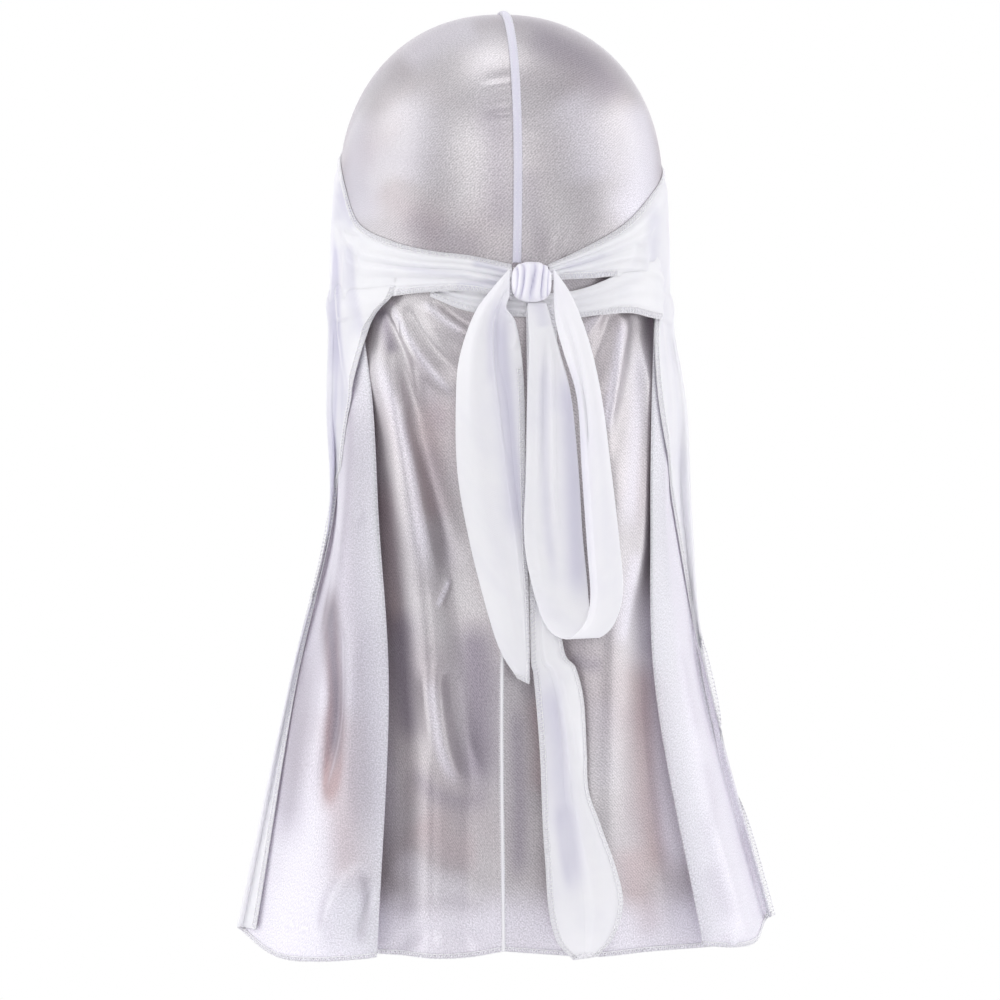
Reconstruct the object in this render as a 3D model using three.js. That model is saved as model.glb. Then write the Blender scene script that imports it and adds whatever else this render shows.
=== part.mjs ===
import * as THREE from 'three';

// A durag as it is worn, tied at the nape with a half bow, its cape hanging down the back.
// Millimetres, +Z up. The wearer faces -Y, the knot is at +Y and the wearer's left is +X.
// The origin is the inside of the crown's top, where the durag sits on the head.

// The head that the cloth keeps its form on
const headWidth = 155;
const headLength = 188;
const domeHeight = 84;       // from the top down to the widest level
const domeSquareness = 2.15; // exponent of the dome's upright outline, 2 is an ellipse
const headSquareness = 2.2;  // exponent of the head's level outline
const napeFall = 50;         // from the widest level down to the narrowest
const napeTuck = 8;          // how far the back comes in over that fall
const sideTuck = 4;          // how far each side comes in over that fall

// Cloth
const wall = 1.2;
const gap = 0.4;             // between two pieces that touch
const hiddenGap = 1.2;       // between the cape's top edge and the edge that it hangs from
const hugLift = wall / 2;    // middle of a cloth that lies on the head
const facetRoom = 0.6;       // for the flat facets of two cloths, one over the other
const overLift = hugLift + wall + gap + facetRoom;

// Crown, straps and front hem
const napeDrop = 133;        // from the top down to the crown's edge at the nape
const seamWidth = 4;
const seamWall = 1.1;
const strapFlare = 8.3;      // how far the straps' lower edges stand out over the ears
const strapRipple = 0.3;     // height of the strap's lengthwise pleats
const strapPleats = 3;
const flareBend = 1.5;       // above 1 the flare gathers at a strap's lower edge

// Knot
const knotWidth = 19;
const knotDepth = 17;
const knotHeight = 18;
const knotX = -6;            // the knot sits a little to the wearer's right
const knotPleats = 6;
const knotGroove = 0.7;
const knotRoundness = 0.75;  // 1 is round, less is fuller at the corners
const knotLevel = -napeDrop * 1.013; // its middle
const knotY = headLength / 2 - napeTuck + overLift + wall / 2 + gap + knotDepth / 2;

// Tails and loop
const tailLength = 186;      // pointed tail, below the knot's middle
const tailWidth = 34;
const loopLength = 165;      // loop, below the knot's middle
const loopWidth = 42;
const longLength = 315;      // long tail, below the knot's middle
const longWidth = 44;
const tieSwell = 5;          // depth that a tail's folded section stands out

// Cape
const hemDrop = 449;         // from the top down to the cape's hem
const hemWidth = 262;
const capeSeamWidth = 2.4;
const capeSeamWall = 0.9;
const tieBack = headLength / 2 - napeTuck + overLift + wall / 2; // behind the layer under the knot

const faceColour = 0xb9b3bd;
const reverseColour = 0xe9e6f0;
const stitchColour = 0xdedae4;

// Value at a place along a row of evenly spaced values, on a smooth curve through them
function smooth(values, place) {
  const last = values.length - 1;
  const at = Math.min(Math.max(place, 0), 1) * last;
  const i = Math.min(Math.floor(at), last - 1);
  const t = at - i;
  const b = values[i];
  const c = values[i + 1];
  const a = i > 0 ? values[i - 1] : 2 * b - c;
  const d = i + 2 <= last ? values[i + 2] : 2 * c - b;
  return b + 0.5 * t * (c - a + t * (2 * a - 5 * b + 4 * c - d + t * (3 * (b - c) + d - a)));
}

// The same on straight lines from value to value
function straight(values, place) {
  const at = Math.min(Math.max(place, 0), 1) * (values.length - 1);
  const i = Math.min(Math.floor(at), values.length - 2);
  return values[i] + (values[i + 1] - values[i]) * (at - i);
}

// Value in one column of a table at a turn round the head
function atTurn(table, column, turn) {
  const away = Math.abs(turn);
  let i = 0;
  while (i < table.length - 2 && table[i + 1].turn < away) {
    i += 1;
  }
  const t = (away - table[i].turn) / (table[i + 1].turn - table[i].turn);
  return smooth(table.map((row) => row[column]), (i + t) / (table.length - 1));
}

// How far along the cloth from the top a level lies
function fallTo(z) {
  if (z < -domeHeight) {
    return (domeHeight * Math.PI) / 2 - z - domeHeight;
  }
  return domeHeight * Math.acos(Math.min(1, (z + domeHeight) / domeHeight) ** (domeSquareness / 2));
}

function signedPower(value, exponent) {
  return Math.sign(value) * Math.abs(value) ** exponent;
}

// Point over the head: turn 0 is the back, 0.5 the wearer's left, -0.5 the right and 1 the front
function overHead(turn, fall, lift) {
  const tilt = Math.min(fall / domeHeight, Math.PI / 2);
  const spread = Math.sin(tilt) ** (2 / domeSquareness);
  const rise = Math.max(0, Math.cos(tilt)) ** (2 / domeSquareness);
  const below = Math.max(0, fall - (domeHeight * Math.PI) / 2);
  const tuck = Math.min(1, below / napeFall) ** 2;
  const sine = Math.sin(turn * Math.PI);
  const cosine = Math.cos(turn * Math.PI);
  const side = (headWidth / 2 + lift) * spread - sideTuck * tuck;
  const back = (headLength / 2 + lift) * spread - (cosine > 0 ? napeTuck * tuck : 0);
  return new THREE.Vector3(
    side * signedPower(sine, 2 / headSquareness),
    back * signedPower(cosine, 2 / headSquareness),
    (domeHeight + lift) * rise - domeHeight - below,
  );
}

// Closed solid from two faces, each a grid of points, joined round the rim
function solidBetween(outer, inner) {
  const across = outer.length;
  const down = outer[0].length;
  const points = [];
  outer.forEach((column) => points.push(...column));
  inner.forEach((column) => points.push(...column));
  const out = (i, j) => i * down + j;
  const back = (i, j) => (across + i) * down + j;
  const triangles = [];
  const add = (a, b, c) => {
    const ab = points[b].clone().sub(points[a]);
    const ac = points[c].clone().sub(points[a]);
    const bc = points[c].clone().sub(points[b]);
    if (Math.min(ab.length(), ac.length(), bc.length()) > 0.002) {
      triangles.push(a, b, c);
    }
  };
  const addFour = (a, b, c, d) => {
    add(a, b, c);
    add(a, c, d);
  };
  for (let i = 0; i < across - 1; i += 1) {
    for (let j = 0; j < down - 1; j += 1) {
      addFour(out(i, j), out(i, j + 1), out(i + 1, j + 1), out(i + 1, j));
      addFour(back(i, j), back(i + 1, j), back(i + 1, j + 1), back(i, j + 1));
    }
    addFour(out(i, 0), out(i + 1, 0), back(i + 1, 0), back(i, 0));
    addFour(out(i + 1, down - 1), out(i, down - 1), back(i, down - 1), back(i + 1, down - 1));
  }
  for (let j = 0; j < down - 1; j += 1) {
    addFour(out(0, j + 1), out(0, j), back(0, j), back(0, j + 1));
    addFour(out(across - 1, j), out(across - 1, j + 1), back(across - 1, j + 1), back(across - 1, j));
  }
  const geometry = new THREE.BufferGeometry();
  const places = points.flatMap((p) => [p.x, p.y, p.z]);
  geometry.setAttribute('position', new THREE.Float32BufferAttribute(places, 3));
  geometry.setIndex(triangles);
  geometry.computeVertexNormals();
  return geometry;
}

// Cloth of an even wall about a middle surface place(u, v), whose outer face looks along du x dv
function cloth(place, across, down, thickness = wall) {
  const step = 0.001;
  const outer = [];
  const inner = [];
  for (let i = 0; i <= across; i += 1) {
    outer.push([]);
    inner.push([]);
    for (let j = 0; j <= down; j += 1) {
      const u = i / across;
      const v = j / down;
      const middle = place(u, v);
      const alongU = place(Math.min(1, u + step), v).sub(place(Math.max(0, u - step), v));
      const alongV = place(u, Math.min(1, v + step)).sub(place(u, Math.max(0, v - step)));
      const normal = alongV.cross(alongU).normalize().multiplyScalar(thickness / 2);
      outer[i].push(middle.clone().add(normal));
      inner[i].push(middle.clone().sub(normal));
    }
  }
  return solidBetween(outer, inner);
}

const durag = new THREE.Group();

function addPiece(name, geometry, color, roughness) {
  const material = new THREE.MeshStandardMaterial({ color, roughness, metalness: 0 });
  const mesh = new THREE.Mesh(geometry, material);
  mesh.name = name;
  durag.add(mesh);
}

// The crown's lower edge, as shares of napeDrop below the top
const crownRows = [
  { turn: 0.00, edge: 1.00 },
  { turn: 0.17, edge: 0.98 },
  { turn: 0.33, edge: 0.90 },
  { turn: 0.50, edge: 0.83 },
  { turn: 0.67, edge: 0.74 },
  { turn: 0.83, edge: 0.62 },
  { turn: 1.00, edge: 0.56 },
];

// Straps from the knot to the front hem: edges as shares of napeDrop, flares of strapFlare
const leftStrapRows = [
  { turn: 0.008, top: 0.95, bottom: 1.07, flareTop: 0.22, flareBottom: 0.22 },
  { turn: 0.08, top: 0.92, bottom: 1.04, flareTop: 0.22, flareBottom: 0.22 },
  { turn: 0.16, top: 0.90, bottom: 1.04, flareTop: 0.22, flareBottom: 0.22 },
  { turn: 0.25, top: 0.86, bottom: 1.05, flareTop: 0.10, flareBottom: 0.30 },
  { turn: 0.36, top: 0.78, bottom: 1.07, flareTop: 0.00, flareBottom: 0.50 },
  { turn: 0.43, top: 0.63, bottom: 1.07, flareTop: 0.00, flareBottom: 0.70 },
  { turn: 0.48, top: 0.55, bottom: 1.05, flareTop: 0.00, flareBottom: 0.95 },
  { turn: 0.56, top: 0.48, bottom: 0.95, flareTop: 0.00, flareBottom: 0.42 },
  { turn: 0.64, top: 0.44, bottom: 0.80, flareTop: 0.00, flareBottom: 0.00 },
];
const rightStrapRows = [
  { turn: 0.052, top: 0.95, bottom: 1.00, flareTop: 0.22, flareBottom: 0.22 },
  { turn: 0.134, top: 0.88, bottom: 0.99, flareTop: 0.22, flareBottom: 0.22 },
  { turn: 0.22, top: 0.80, bottom: 0.98, flareTop: 0.22, flareBottom: 0.24 },
  { turn: 0.31, top: 0.69, bottom: 1.03, flareTop: 0.10, flareBottom: 0.42 },
  { turn: 0.37, top: 0.63, bottom: 1.06, flareTop: 0.00, flareBottom: 0.54 },
  { turn: 0.44, top: 0.57, bottom: 1.07, flareTop: 0.00, flareBottom: 0.74 },
  { turn: 0.48, top: 0.54, bottom: 1.05, flareTop: 0.00, flareBottom: 0.95 },
  { turn: 0.56, top: 0.48, bottom: 0.95, flareTop: 0.00, flareBottom: 0.42 },
  { turn: 0.64, top: 0.44, bottom: 0.80, flareTop: 0.00, flareBottom: 0.00 },
];

// The layer of strap that runs under the knot, from the wearer's left to the right
const underStrapRows = [
  { turn: 0.16, top: 1.00, bottom: 1.055 },
  { turn: 0.08, top: 1.03, bottom: 1.11 },
  { turn: -0.02, top: 1.05, bottom: 1.13 },
  { turn: -0.10, top: 1.04, bottom: 1.13 },
  { turn: -0.22, top: 0.98, bottom: 1.10 },
  { turn: -0.31, top: 0.94, bottom: 1.10 },
];

// The band over the forehead, from the right strap round the front to the left strap
const hemRows = [
  { turn: -0.642, top: 0.44, bottom: 0.80 },
  { turn: -0.80, top: 0.40, bottom: 0.66 },
  { turn: -1.00, top: 0.39, bottom: 0.59 },
  { turn: -1.20, top: 0.40, bottom: 0.66 },
  { turn: -1.358, top: 0.44, bottom: 0.80 },
];

function column(rows, name, place) {
  return smooth(rows.map((row) => row[name]), place);
}

// Crown: two panels, each from the middle seam over one side of the head
function crownPanel(side) {
  return (u, v) => {
    const turn = side > 0 ? 1 - u : -u;
    const edge = fallTo(-napeDrop * atTurn(crownRows, 'edge', turn));
    const point = overHead(turn, edge * v, hugLift);
    point.x += (side * gap) / 2;
    return point;
  };
}

// Raised seam over the crown, from the front hem back to the knot
function crownSeam(u, v) {
  const front = fallTo(-napeDrop * column(hemRows, 'top', 0.5)) - gap;
  const back = fallTo(knotLevel + knotHeight / 2) - gap;
  const along = (front + back) * v - front;
  const point = overHead(along < 0 ? 1 : 0, Math.abs(along), wall + gap + seamWall / 2);
  point.x = seamWidth * (0.5 - u);
  return point;
}

// Strap: flat at the top edge, flared at the bottom, with pleats that run along it to the knot
function strap(rows, side) {
  return (u, v) => {
    const along = side > 0 ? 1 - u : u;
    const level = (name) => -napeDrop * column(rows, name, along);
    const z = level('top') + (level('bottom') - level('top')) * v;
    const flareTop = column(rows, 'flareTop', along);
    const flare = flareTop + (column(rows, 'flareBottom', along) - flareTop) * v ** flareBend;
    const ripple = strapRipple * Math.cos(2 * Math.PI * strapPleats * v);
    const lift = overLift + strapRipple + strapFlare * flare + ripple;
    return overHead(side * column(rows, 'turn', along), fallTo(z), lift);
  };
}

// Plain band that lies straight on the crown
function band(rows) {
  return (u, v) => {
    const top = column(rows, 'top', u);
    const z = -napeDrop * (top + (column(rows, 'bottom', u) - top) * v);
    return overHead(column(rows, 'turn', u), fallTo(z), overLift);
  };
}

// Knot: a lump with upright pleats that run over it from the straps down into the tails
function knotShape() {
  const geometry = new THREE.SphereGeometry(1, 28, 14);
  geometry.rotateX(Math.PI / 2);
  const position = geometry.attributes.position;
  const half = new THREE.Vector3(knotWidth / 2, knotDepth / 2, knotHeight / 2);
  const point = new THREE.Vector3();
  for (let i = 0; i < position.count; i += 1) {
    point.fromBufferAttribute(position, i);
    const across = Math.asin(Math.max(-1, Math.min(1, point.x))) / Math.PI;
    const groove = (knotGroove / half.y) * Math.sin(Math.PI * knotPleats * across) ** 2 * (1 - point.z ** 2);
    const full = new THREE.Vector3(
      signedPower(point.x, knotRoundness),
      signedPower(point.y, knotRoundness),
      signedPower(point.z, knotRoundness),
    );
    full.multiplyScalar(1 - Math.max(0, point.y) * groove).multiply(half);
    position.setXYZ(i, full.x, full.y, full.z);
  }
  geometry.computeVertexNormals();
  geometry.translate(knotX, knotY, knotLevel);
  return geometry;
}

// Tails and loop. Each row is one section from the outer edge to the inner edge: out and in are
// shares of the piece's width away from the knot's middle, outFall and inFall shares of its
// length below it, and outStand and inStand shares of knotDepth behind tieBack. fold is
// where the front layer ends, a share of the way from outer edge to inner, and swell its height.
const tailRows = [
  { out: 0.30, outFall: -0.03, in: 0.30, inFall: 0.034,
    outStand: 0.49, inStand: 0.49, fold: 0.50, swell: 0.0 },
  { out: 0.50, outFall: 0.012, in: 0.34, inFall: 0.066,
    outStand: 0.43, inStand: 0.43, fold: 0.46, swell: 0.5 },
  { out: 0.75, outFall: 0.077, in: 0.21, inFall: 0.098,
    outStand: 0.16, inStand: 0.16, fold: 0.44, swell: 0.9 },
  { out: 0.95, outFall: 0.184, in: 0.12, inFall: 0.18,
    outStand: -0.01, inStand: -0.01, fold: 0.50, swell: 1.0 },
  { out: 1.00, outFall: 0.295, in: 0.08, inFall: 0.29,
    outStand: -0.05, inStand: -0.05, fold: 0.62, swell: 1.0 },
  { out: 0.98, outFall: 0.47, in: 0.06, inFall: 0.47,
    outStand: -0.05, inStand: -0.05, fold: 0.70, swell: 0.9 },
  { out: 0.82, outFall: 0.64, in: 0.04, inFall: 0.64,
    outStand: -0.05, inStand: -0.05, fold: 0.78, swell: 0.8 },
  { out: 0.60, outFall: 0.80, in: 0.02, inFall: 0.80,
    outStand: -0.05, inStand: -0.05, fold: 0.84, swell: 0.6 },
  { out: 0.40, outFall: 0.915, in: 0.01, inFall: 0.915,
    outStand: -0.05, inStand: -0.05, fold: 0.86, swell: 0.4 },
  { out: 0.17, outFall: 0.985, in: 0.01, inFall: 1.0,
    outStand: -0.05, inStand: -0.05, fold: 0.86, swell: 0.1 },
];
const loopRows = [
  { out: 0.25, outFall: -0.035, in: 0.25, inFall: 0.032,
    outStand: 0.49, inStand: 0.49, fold: 0.8, swell: 0.0 },
  { out: 0.45, outFall: 0.047, in: 0.27, inFall: 0.105,
    outStand: 0.59, inStand: 0.53, fold: 0.8, swell: 0.3 },
  { out: 0.635, outFall: 0.178, in: 0.37, inFall: 0.20,
    outStand: 0.69, inStand: 0.59, fold: 0.8, swell: 0.4 },
  { out: 0.765, outFall: 0.332, in: 0.51, inFall: 0.332,
    outStand: 0.76, inStand: 0.64, fold: 0.8, swell: 0.5 },
  { out: 0.865, outFall: 0.53, in: 0.56, inFall: 0.53,
    outStand: 0.76, inStand: 0.64, fold: 0.8, swell: 0.5 },
  { out: 0.955, outFall: 0.723, in: 0.62, inFall: 0.74,
    outStand: 0.71, inStand: 0.59, fold: 0.8, swell: 0.4 },
  { out: 1.00, outFall: 0.868, in: 0.66, inFall: 0.887,
    outStand: 0.59, inStand: 0.51, fold: 0.8, swell: 0.3 },
  { out: 0.905, outFall: 0.96, in: 0.585, inFall: 0.963,
    outStand: 0.47, inStand: 0.41, fold: 0.8, swell: 0.1 },
  { out: 0.74, outFall: 0.996, in: 0.38, inFall: 1.0,
    outStand: 0.33, inStand: 0.29, fold: 0.8, swell: 0.0 },
  { out: 0.665, outFall: 0.948, in: 0.165, inFall: 0.957,
    outStand: 0.18, inStand: 0.17, fold: 0.8, swell: 0.0 },
  { out: 0.62, outFall: 0.832, in: 0.0, inFall: 0.82,
    outStand: 0.16, inStand: 0.14, fold: 0.8, swell: 0.1 },
  { out: 0.57, outFall: 0.70, in: -0.06, inFall: 0.70,
    outStand: 0.16, inStand: 0.14, fold: 0.8, swell: 0.1 },
  { out: 0.53, outFall: 0.53, in: -0.04, inFall: 0.54,
    outStand: 0.16, inStand: 0.14, fold: 0.8, swell: 0.1 },
  { out: 0.45, outFall: 0.33, in: -0.025, inFall: 0.33,
    outStand: 0.16, inStand: 0.14, fold: 0.8, swell: 0.1 },
  { out: 0.31, outFall: 0.19, in: -0.01, inFall: 0.19,
    outStand: 0.21, inStand: 0.21, fold: 0.8, swell: 0.1 },
  { out: 0.17, outFall: 0.06, in: -0.03, inFall: 0.06,
    outStand: 0.31, inStand: 0.31, fold: 0.8, swell: 0.0 },
];
const longTailRows = [
  { out: 0.15, outFall: 0.031, in: -0.045, inFall: 0.031,
    outStand: 0.10, inStand: 0.10, fold: 0.6, swell: 0.0 },
  { out: 0.27, outFall: 0.06, in: -0.03, inFall: 0.06,
    outStand: 0.07, inStand: 0.07, fold: 0.6, swell: 0.0 },
  { out: 0.31, outFall: 0.32, in: 0.0, inFall: 0.32,
    outStand: -0.11, inStand: -0.11, fold: 0.6, swell: 0.2 },
  { out: 0.34, outFall: 0.525, in: 0.02, inFall: 0.537,
    outStand: -0.11, inStand: -0.11, fold: 0.6, swell: 0.4 },
  { out: 0.49, outFall: 0.57, in: 0.05, inFall: 0.575,
    outStand: -0.11, inStand: -0.11, fold: 0.5, swell: 0.5 },
  { out: 0.57, outFall: 0.617, in: 0.08, inFall: 0.617,
    outStand: -0.11, inStand: -0.11, fold: 0.45, swell: 0.6 },
  { out: 0.60, outFall: 0.69, in: 0.12, inFall: 0.69,
    outStand: -0.11, inStand: -0.11, fold: 0.4, swell: 0.6 },
  { out: 0.625, outFall: 0.75, in: 0.14, inFall: 0.75,
    outStand: -0.15, inStand: -0.15, fold: 0.4, swell: 0.5 },
  { out: 0.75, outFall: 0.80, in: 0.155, inFall: 0.80,
    outStand: -0.19, inStand: -0.19, fold: 0.4, swell: 0.5 },
  { out: 0.925, outFall: 0.868, in: 0.185, inFall: 0.861,
    outStand: -0.23, inStand: -0.23, fold: 0.4, swell: 0.5 },
  { out: 0.995, outFall: 0.918, in: 0.22, inFall: 0.925,
    outStand: -0.25, inStand: -0.25, fold: 0.4, swell: 0.4 },
  { out: 0.91, outFall: 0.963, in: 0.307, inFall: 0.972,
    outStand: -0.26, inStand: -0.26, fold: 0.4, swell: 0.3 },
  { out: 0.73, outFall: 0.995, in: 0.477, inFall: 1.0,
    outStand: -0.26, inStand: -0.26, fold: 0.4, swell: 0.1 },
];

// Height of a folded strip's section, 0 to 1: round from the outer edge, a step down at the fold
function foldedSection(across, fold) {
  const stepWidth = 0.12; // share of the section's width
  const stepDrop = 0.8;   // share of its height
  if (across < fold) {
    return Math.sin((Math.PI / 2) * Math.min(1, (2 * across) / fold));
  }
  const past = Math.min(1, (across - fold) / stepWidth);
  const rest = Math.max(0, (across - fold - stepWidth) / (1 - fold - stepWidth));
  return (1 - stepDrop * past) * (1 - rest);
}

// Strip that hangs from the knot, on the wearer's left (side 1) or right (side -1)
function strip(rows, side, width, length) {
  return (u, v) => {
    const across = side > 0 ? u : 1 - u;
    const mix = (outer, inner) => {
      const from = column(rows, outer, v);
      return from + (column(rows, inner, v) - from) * across;
    };
    const height = tieSwell * column(rows, 'swell', v) * foldedSection(across, column(rows, 'fold', v));
    return new THREE.Vector3(
      knotX + side * width * mix('out', 'in'),
      tieBack + knotDepth * mix('outStand', 'inStand') + height,
      knotLevel - length * mix('outFall', 'inFall'),
    );
  };
}

// Cape. Its sections are taken at six levels: the hidden top edge, the nape, and four levels down
// to the hem. levelShare is how far each of the last four is from nape to hem, and levelSpread how
// far its half width is from the head's to the hem's.
const levelShare = [0.13, 0.32, 0.57, 1];
const levelSpread = [0.12, 0.14, 0.48, 1];

// One row for each fold line of the cape, from the middle seam to the side edge that turns over
// outwards. topTurn and napeTurn are turns round the head and topLift and napeLift shares of
// strapFlare. side is a share of the level's half width at each of the four levels, back a share
// of half the head's length, and hem a share of hemDrop.
const leftFolds = [
  { fold: 'seam', under: 'crown', topTurn: 0.007, napeTurn: 0.007, topLift: 0, napeLift: 0,
    side: [0.04, 0.05, 0.06, 0.04], back: [0.89, 0.89, 0.88, 0.86], hem: 0.993 },
  { fold: 'trough', under: 'crown', topTurn: 0.20, napeTurn: 0.205, topLift: 0, napeLift: 0,
    side: [0.54, 0.39, 0.22, 0.16], back: [0.81, 0.83, 0.83, 0.81], hem: 1.0 },
  { fold: 'ridge', under: 'crown', topTurn: 0.27, napeTurn: 0.275, topLift: 0, napeLift: 0,
    side: [0.64, 0.53, 0.37, 0.285], back: [0.79, 0.87, 0.88, 0.85], hem: 1.0 },
  { fold: 'sideTrough', under: 'crown', topTurn: 0.33, napeTurn: 0.335, topLift: 0, napeLift: 0,
    side: [0.75, 0.69, 0.51, 0.40], back: [0.64, 0.72, 0.72, 0.70], hem: 1.0 },
  { fold: 'pleatBack', under: 'crown', topTurn: 0.37, napeTurn: 0.385, topLift: 0, napeLift: 0,
    side: [0.85, 0.87, 0.70, 0.62], back: [0.55, 0.60, 0.60, 0.53], hem: 1.0 },
  { fold: 'pleatFold', under: 'crown', topTurn: 0.385, napeTurn: 0.345, topLift: 0, napeLift: 0.32,
    side: [0.755, 0.74, 0.57, 0.49], back: [0.68, 0.775, 0.80, 0.765], hem: 1.0 },
  { fold: 'bandMiddle', under: 'crown', topTurn: 0.42, napeTurn: 0.415, topLift: 0, napeLift: 0.30,
    side: [0.87, 0.90, 0.81, 0.70], back: [0.53, 0.575, 0.575, 0.555], hem: 1.01 },
  { fold: 'bandSide', under: 'strap', topTurn: 0.455, napeTurn: 0.45, topLift: 0, napeLift: 0.45,
    side: [0.935, 0.945, 0.89, 0.84], back: [0.32, 0.36, 0.36, 0.34], hem: 1.01 },
  { fold: 'roll', under: 'strap', topTurn: 0.485, napeTurn: 0.487, topLift: 0.85, napeLift: 0.90,
    side: [0.985, 0.955, 0.965, 0.962], back: [0.075, 0.09, 0.08, 0.04], hem: 0.99 },
  { fold: 'rollOut', under: 'strap', topTurn: 0.475, napeTurn: 0.475, topLift: 1.18, napeLift: 1.22,
    side: [1.013, 0.99, 0.992, 0.98], back: [0.105, 0.115, 0.10, 0.07], hem: 0.985 },
  { fold: 'turnedMiddle', under: 'strap', topTurn: 0.42, napeTurn: 0.42, topLift: 0.90, napeLift: 0.94,
    side: [0.96, 0.986, 1.0, 0.966], back: [0.32, 0.145, 0.128, 0.10], hem: 0.985 },
  { fold: 'turnedEdge', under: 'strap', topTurn: 0.315, napeTurn: 0.32, topLift: 0.66, napeLift: 0.70,
    side: [0.90, 0.979, 0.998, 0.947], back: [0.532, 0.18, 0.16, 0.14], hem: 0.985 },
];
const rightFolds = [
  { fold: 'seam', under: 'crown', topTurn: -0.007, napeTurn: -0.007, topLift: 0, napeLift: 0,
    side: [-0.04, -0.05, -0.06, -0.04], back: [0.89, 0.89, 0.88, 0.86], hem: 0.993 },
  { fold: 'trough', under: 'crown', topTurn: 0.075, napeTurn: 0.08, topLift: 0, napeLift: 0,
    side: [0.20, 0.18, 0.165, 0.12], back: [0.84, 0.83, 0.83, 0.81], hem: 0.998 },
  { fold: 'ridge', under: 'crown', topTurn: 0.21, napeTurn: 0.215, topLift: 0, napeLift: 0,
    side: [0.54, 0.54, 0.405, 0.285], back: [0.82, 0.87, 0.895, 0.85], hem: 1.0 },
  { fold: 'sideTrough', under: 'crown', topTurn: 0.30, napeTurn: 0.305, topLift: 0, napeLift: 0,
    side: [0.745, 0.72, 0.585, 0.50], back: [0.63, 0.68, 0.68, 0.64], hem: 1.0 },
  { fold: 'pleatBack', under: 'crown', topTurn: 0.37, napeTurn: 0.385, topLift: 0, napeLift: 0,
    side: [0.855, 0.865, 0.77, 0.78], back: [0.53, 0.555, 0.555, 0.49], hem: 1.0 },
  { fold: 'pleatFold', under: 'crown', topTurn: 0.385, napeTurn: 0.35, topLift: 0, napeLift: 0.30,
    side: [0.795, 0.775, 0.655, 0.70], back: [0.64, 0.735, 0.765, 0.70], hem: 0.995 },
  { fold: 'bandMiddle', under: 'crown', topTurn: 0.42, napeTurn: 0.415, topLift: 0, napeLift: 0.30,
    side: [0.88, 0.865, 0.785, 0.83], back: [0.50, 0.53, 0.555, 0.51], hem: 1.0 },
  { fold: 'bandSide', under: 'strap', topTurn: 0.455, napeTurn: 0.45, topLift: 0, napeLift: 0.45,
    side: [0.975, 0.94, 0.875, 0.93], back: [0.27, 0.32, 0.34, 0.32], hem: 1.0 },
  { fold: 'roll', under: 'strap', topTurn: 0.485, napeTurn: 0.487, topLift: 0.85, napeLift: 0.90,
    side: [1.043, 1.065, 0.945, 0.996], back: [0.075, 0.085, 0.08, 0.043], hem: 0.985 },
  { fold: 'rollOut', under: 'strap', topTurn: 0.475, napeTurn: 0.475, topLift: 1.18, napeLift: 1.22,
    side: [1.073, 1.094, 0.969, 1.011], back: [0.106, 0.117, 0.11, 0.08], hem: 0.98 },
  { fold: 'turnedMiddle', under: 'strap', topTurn: 0.42, napeTurn: 0.42, topLift: 0.90, napeLift: 0.94,
    side: [1.0, 1.06, 0.979, 1.0], back: [0.36, 0.255, 0.14, 0.106], hem: 0.98 },
  { fold: 'turnedEdge', under: 'strap', topTurn: 0.325, napeTurn: 0.325, topLift: 0.66, napeLift: 0.70,
    side: [0.876, 0.982, 0.979, 0.99], back: [0.585, 0.404, 0.175, 0.149], hem: 0.98 },
];

const napeEnd = napeDrop * 1.13; // where the cape leaves the nape
const levelCrowding = 0.75; // sections lie closer together near the nape

// One level of the cape as a function of the place across it, from the seam to the turned edge
function capeLevels(folds, side, strapRows) {
  const values = (name) => folds.map((row) => row[name]);
  const tops = folds.map((row) => {
    const edge = row.under === 'crown' ? atTurn(crownRows, 'edge', row.topTurn)
      : atTurn(strapRows, 'bottom', row.topTurn);
    return -napeDrop * edge - hiddenGap;
  });
  const onHead = (turn, lift, z) => (across) => overHead(
    side * smooth(values(turn), across),
    fallTo(z(across)),
    hugLift + strapFlare * smooth(values(lift), across),
  );
  const hanging = levelShare.map((share, i) => {
    const halfWidth = headWidth / 2 + ((hemWidth - headWidth) / 2) * levelSpread[i];
    const level = -napeEnd - (hemDrop - napeEnd) * share;
    const points = folds.map((row) => new THREE.Vector3(
      side * row.side[i] * halfWidth,
      (row.back[i] * headLength) / 2,
      share < 1 ? level : -hemDrop * row.hem,
    ));
    const curve = new THREE.CatmullRomCurve3(points, false, 'centripetal');
    return (across) => curve.getPoint(across);
  });
  return [
    onHead('topTurn', 'topLift', (across) => straight(tops, across)),
    onHead('napeTurn', 'napeLift', () => -napeEnd),
    ...hanging,
  ];
}

// A half of the cape: at each place across, a smooth curve down through the levels
function cape(folds, side, strapRows) {
  const levels = capeLevels(folds, side, strapRows);
  return (u, v) => {
    const across = side > 0 ? 1 - u : u;
    const points = levels.map((level) => level(across));
    const down = new THREE.CatmullRomCurve3(points, false, 'centripetal');
    const point = down.getPoint(v ** levelCrowding);
    point.x += ((side * gap) / 2) * (1 - across);
    return point;
  };
}

// Overlocked seam that stands on the cape's middle line, from under the knot to the hem
function capeSeam(u, v) {
  const seamTop = 0.16; // share of the cape's height that the knot hides
  const point = cape(leftFolds, 1, leftStrapRows)(1, seamTop + (1 - seamTop) * v);
  point.x += capeSeamWidth * (0.5 - u);
  point.y += wall / 2 + gap + capeSeamWall / 2;
  return point;
}

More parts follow.
